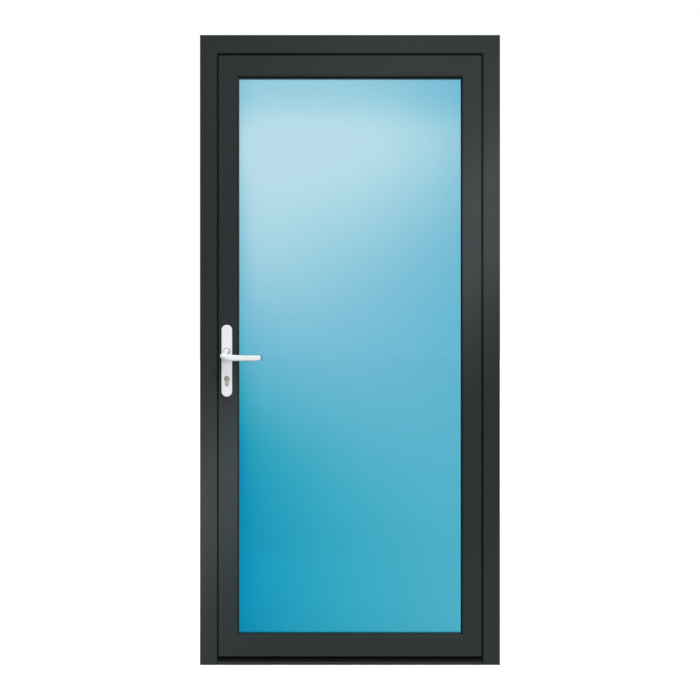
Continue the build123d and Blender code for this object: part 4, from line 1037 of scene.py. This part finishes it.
    def build(self, material: bpy.types.Material, sight_material: bpy.types.Material) -> None:
        """Builds every seal and puts it on its body.

        Args:
            material: the seals' rubber.
            sight_material: the outer glazing seal's rubber, with painted light at left and bottom.
        """
        self.keep(self.outer_glazing(), "outer_glazing_gasket", "leaf", sight_material)
        self.keep(self.inner_glazing(), "inner_glazing_gasket", "leaf", material)
        self.keep(self.frame_stop(), "frame_gasket", "frame", material)
        self.keep(self.leaf_stop(), "leaf_gasket", "leaf", material)
        for piece in self.under_leaf():
            self.keep(piece, "bottom_seal", "leaf", material)


@dataclass
class GuideRingsAndShade:
    """The black rings between each lever's neck and the handle plate's recess: guide rings, made black so
    that they also stand for the shade in the recess. Lengths in millimetres.
    """

    radii: tuple[float, float] = (9.72, 11.1)
    recess_depth: float = 2.5
    thickness: float = 1.9
    chamfer: float = 0.3
    steps: int = 64
    made: list[bpy.types.Object] = field(default_factory=list)

    def __post_init__(self) -> None:
        """Finds the levers' axis and the depth of the ring in the plate."""
        turn = next(joint for joint in frame["joints"] if joint["name"] == "lever_turn")
        self.axis = np.round(np.array(turn["pos_m"]) / MM, 3)[[0, 2]]
        self.floor = span("inner_handle_plate")[1][1] - self.recess_depth

    def ring(self, name: str, side: int) -> bpy.types.Object:
        """Builds one ring: its section (r, y) turned about the neck's axis, (x0 + r cos a, y, z0 + r sin a).

        Args:
            name: the ring's name.
            side: -1 for the outside, 1 for the inside.

        Returns:
            The new object.
        """
        inner, outer = self.radii
        rim, edge = self.floor + self.thickness, self.chamfer
        section = np.array([
            (inner, self.floor), (outer, self.floor), (outer, rim - edge), (outer - edge, rim),
            (inner + edge, rim), (inner, rim - edge),
        ])
        angle = np.linspace(0.0, 2 * np.pi, self.steps, endpoint=False)[:, None]
        radius, depth = section[:, 0], np.broadcast_to(side * section[:, 1], (self.steps, len(section)))
        x = self.axis[0] + radius * np.cos(angle)
        z = self.axis[1] + radius * np.sin(angle)
        points = np.stack([x, depth, z], axis=-1).reshape(-1, 3) * MM
        return mesh_piece(name, points, grid_faces(self.steps, len(section), True), smooth=False)

    def build(self, material: bpy.types.Material) -> None:
        """Builds both rings on the leaf, in the given material."""
        # black rings that also stand for the recess's shade
        for name, side in (("outer_guide_ring_and_shade", -1), ("inner_guide_ring_and_shade", 1)):
            piece = shade_by_angle(face_outwards(self.ring(name, side)))
            piece.data.materials.append(material)
            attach(piece, "leaf")
            self.made.append(piece)


@dataclass
class Carried:
    """The CAD nodes that stay, and the finish that each record slot gets."""

    effects: Effects
    finishes: dict[str, Finish] = field(default_factory=lambda: {
        "powder_coat": PowderCoat(),
        "hinge_coat": PowderCoat(name="hinge_coat", grain_depth=0.00002, roughness=0.4),
        "polyamide": Polyamide(),
        "black_seal": Rubber(),
        "mill_aluminium": DrawnMetal("mill_aluminium", (0.62, 0.63, 0.64), (0.5, 0.51, 0.52), 0.38),
        "tinted_glass": TintedGlass(),
        "clear_glass": ClearGlass(),
        "zinc_steel": DrawnMetal("zinc_steel", (0.56, 0.56, 0.55), (0.4, 0.4, 0.39), 0.36, 500.0, 60.0),
        "white_lacquer": Lacquer(),
        # the lock cylinder's metal carries painted shade in its keyway and on its sides
        "nickel": LockMetal(
            "satin_nickel", (0.52, 0.51, 0.49), (0.38, 0.37, 0.35), 0.3, 1200.0, 1200.0,
            painted_shade_ends=(span("cylinder_body")[1][1] - LOCK_CHAMFER_IN_SIGHT) * MM,
        ),
    })
    materials: dict[str, bpy.types.Material] = field(default_factory=dict)

    def dress(self, loaded: dict) -> None:
        """Gives each node the finish of its slot.
        """
        self.materials = {slot: finish.build(self.effects) for slot, finish in self.finishes.items()}
        for row in loaded["record"]["subparts"]:
            node = loaded["nodes"][row["node"]]
            material = self.materials[row["material_slot"]]
            for index in range(len(node.material_slots)):
                node.material_slots[index].material = material
            log.info("%s: %s", row["node"], material.name)


@dataclass
class Studio:
    """A pale floor, soft light and a camera square on to the outside face."""

    floor_half: float = 400.0
    floor_tone: float = 0.6
    near_lift: float = 0.74
    far_lift: float = 1.4
    white_from: float = 9.0
    white_softness: float = 1.8
    sky_light: float = 0.3
    floor_mirrored: float = 0.56
    view_distance: float = 12.0
    view_height: float = 1.05
    face_depth: float = -0.035
    shown_width: float = 700 * 10 / 3 * MM
    sensor: float = 36.0
    clip_end: float = 1000.0

    def floor(self) -> bpy.types.Collection:
        """Lays the floor: pale, and lifted to white for the camera so that it meets the background.

        Returns:
            A light group that leaves the floor out.
        """
        half = self.floor_half
        points = np.array([(-half, -half, 0), (half, -half, 0), (half, half, 0), (-half, half, 0)], float)
        floor = mesh_piece("studio_floor", points, [[0, 1, 2, 3]], smooth=False)
        material = bpy.data.materials.new("pale_floor")
        material.use_nodes = True
        sheet = NodeSheet(material.node_tree)
        shader = material.node_tree.nodes["Principled BSDF"]
        shader.inputs["Base Color"].default_value = (self.floor_tone,) * 3 + (1.0,)
        shader.inputs["Roughness"].default_value = 0.9
        shader.inputs["Specular IOR Level"].default_value = 0.0
        shader.inputs["Emission Color"].default_value = (1.0, 1.0, 1.0, 1.0)
        length = sheet.add("ShaderNodeVectorMath", operation="LENGTH")
        sheet.feed(length.inputs[0], sheet.place())
        away = sheet.rise(length.outputs["Value"], self.white_from, self.white_softness)
        lift = sheet.between(away, self.near_lift, self.far_lift)
        strength = sheet.sum(Maths.MULTIPLY, self.seen(sheet, self.floor_mirrored), lift)
        sheet.feed(shader.inputs["Emission Strength"], strength)
        floor.data.materials.append(material)
        group = bpy.data.collections.new("all_but_floor")
        group.objects.link(floor)
        group.collection_objects[0].light_linking.link_state = "EXCLUDE"
        return group

    def seen(self, sheet: NodeSheet, share: float) -> Socket:
        """How much each kind of ray sees of the lift to white.

        Args:
            sheet: where the nodes go.
            share: what rays through glass and off gloss see.

        Returns:
            One for camera rays, the given share through glass and off gloss, nothing for other light.
        """
        path = sheet.add("ShaderNodeLightPath")
        either = sheet.sum(Maths.MAXIMUM, path.outputs["Is Transmission Ray"], path.outputs["Is Glossy Ray"])
        shared = sheet.sum(Maths.MULTIPLY, either, share)
        return sheet.sum(Maths.MAXIMUM, shared, path.outputs["Is Camera Ray"])

    def world(self) -> None:
        """Sets a soft even world that looks white to the camera and through glass."""
        world = bpy.data.worlds.new("soft_studio")
        world.use_nodes = True
        bpy.context.scene.world = world
        sheet = NodeSheet(world.node_tree)
        back = world.node_tree.nodes["Background"]
        back.inputs["Color"].default_value = (1.0, 1.0, 1.0, 1.0)
        sheet.feed(back.inputs["Strength"], sheet.between(self.seen(sheet, 1.0), self.sky_light, 1.0))

    def lamp(
        self, name: str, place: Vector, aim: Vector, size: float, power: float,
        lit: bpy.types.Collection | None = None,
    ) -> None:
        """Hangs a square soft light.

        Args:
            name: the lamp's name.
            place: where it hangs.
            aim: what it faces.
            size: its side in metres.
            power: its power in watts.
            lit: the light group it lights, where that isn't everything. Such a lamp has no mirror image.
        """
        lamp = bpy.data.lights.new(name, "AREA")
        lamp.size = size
        lamp.energy = power
        holder = bpy.data.objects.new(name, lamp)
        holder.location = place
        holder.rotation_euler = (aim - place).to_track_quat("-Z", "Y").to_euler()
        holder.visible_camera = False
        holder.visible_transmission = False
        holder.visible_glossy = lit is None
        holder.light_linking.receiver_collection = lit
        bpy.context.scene.collection.objects.link(holder)

    def camera(self) -> None:
        """Sets up the camera with a long lens, level with the middle of the door."""
        data = bpy.data.cameras.new("camera")
        data.sensor_width = self.sensor
        data.lens = self.sensor * self.view_distance / self.shown_width
        data.clip_end = self.clip_end
        camera = bpy.data.objects.new("camera", data)
        camera.location = (0.0, self.face_depth - self.view_distance, self.view_height)
        camera.rotation_euler = (np.pi / 2, 0.0, 0.0)
        bpy.context.scene.collection.objects.link(camera)
        bpy.context.scene.camera = camera

    def build(self) -> None:
        """Builds floor, world, lights and camera."""
        group = self.floor()
        self.world()
        middle = Vector((0.0, 0.0, 1.05))
        self.lamp("key_light", Vector((3.8, -8.1, 11.8)), middle, 8.0, 1130.0)
        self.lamp("front_light", Vector((1.2, -11.0, 4.6)), middle, 4.0, 335.0, group)
        self.lamp("low_light", Vector((1.0, -6.0, 0.9)), Vector((0.0, 0.0, 0.2)), 3.0, 45.0, group)
        self.lamp("room_light", Vector((-6.0, 5.5, 4.6)), middle, 3.4, 560.0)
        self.camera()
        bpy.context.scene.view_settings.view_transform = "Standard"


def main() -> None:
    """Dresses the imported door, adds the seals and sets up the studio."""
    logging.basicConfig(level=logging.INFO, format="%(name)s: %(message)s")
    effects = Effects()
    carried = Carried(effects)
    carried.dress(frame)
    seals = Seals()
    half_width, bottom, top = (MM * length for length in seals.sight)
    # the outer glazing seal's rubber carries painted light at left and bottom
    sight_rubber_painted_light = SightRubber(half_width=half_width, bottom=bottom, top=top)
    seals.build(carried.materials["black_seal"], sight_rubber_painted_light.build(effects))
    # black rings that also stand for the shade in the plates' recesses
    rings = GuideRingsAndShade()
    rings.build(carried.materials["polyamide"])
    for piece in seals.made + rings.made:
        log.info("%s: %d faces", piece.name, len(piece.data.polygons))
    Studio().build()


if __name__ == "__main__":
    main()
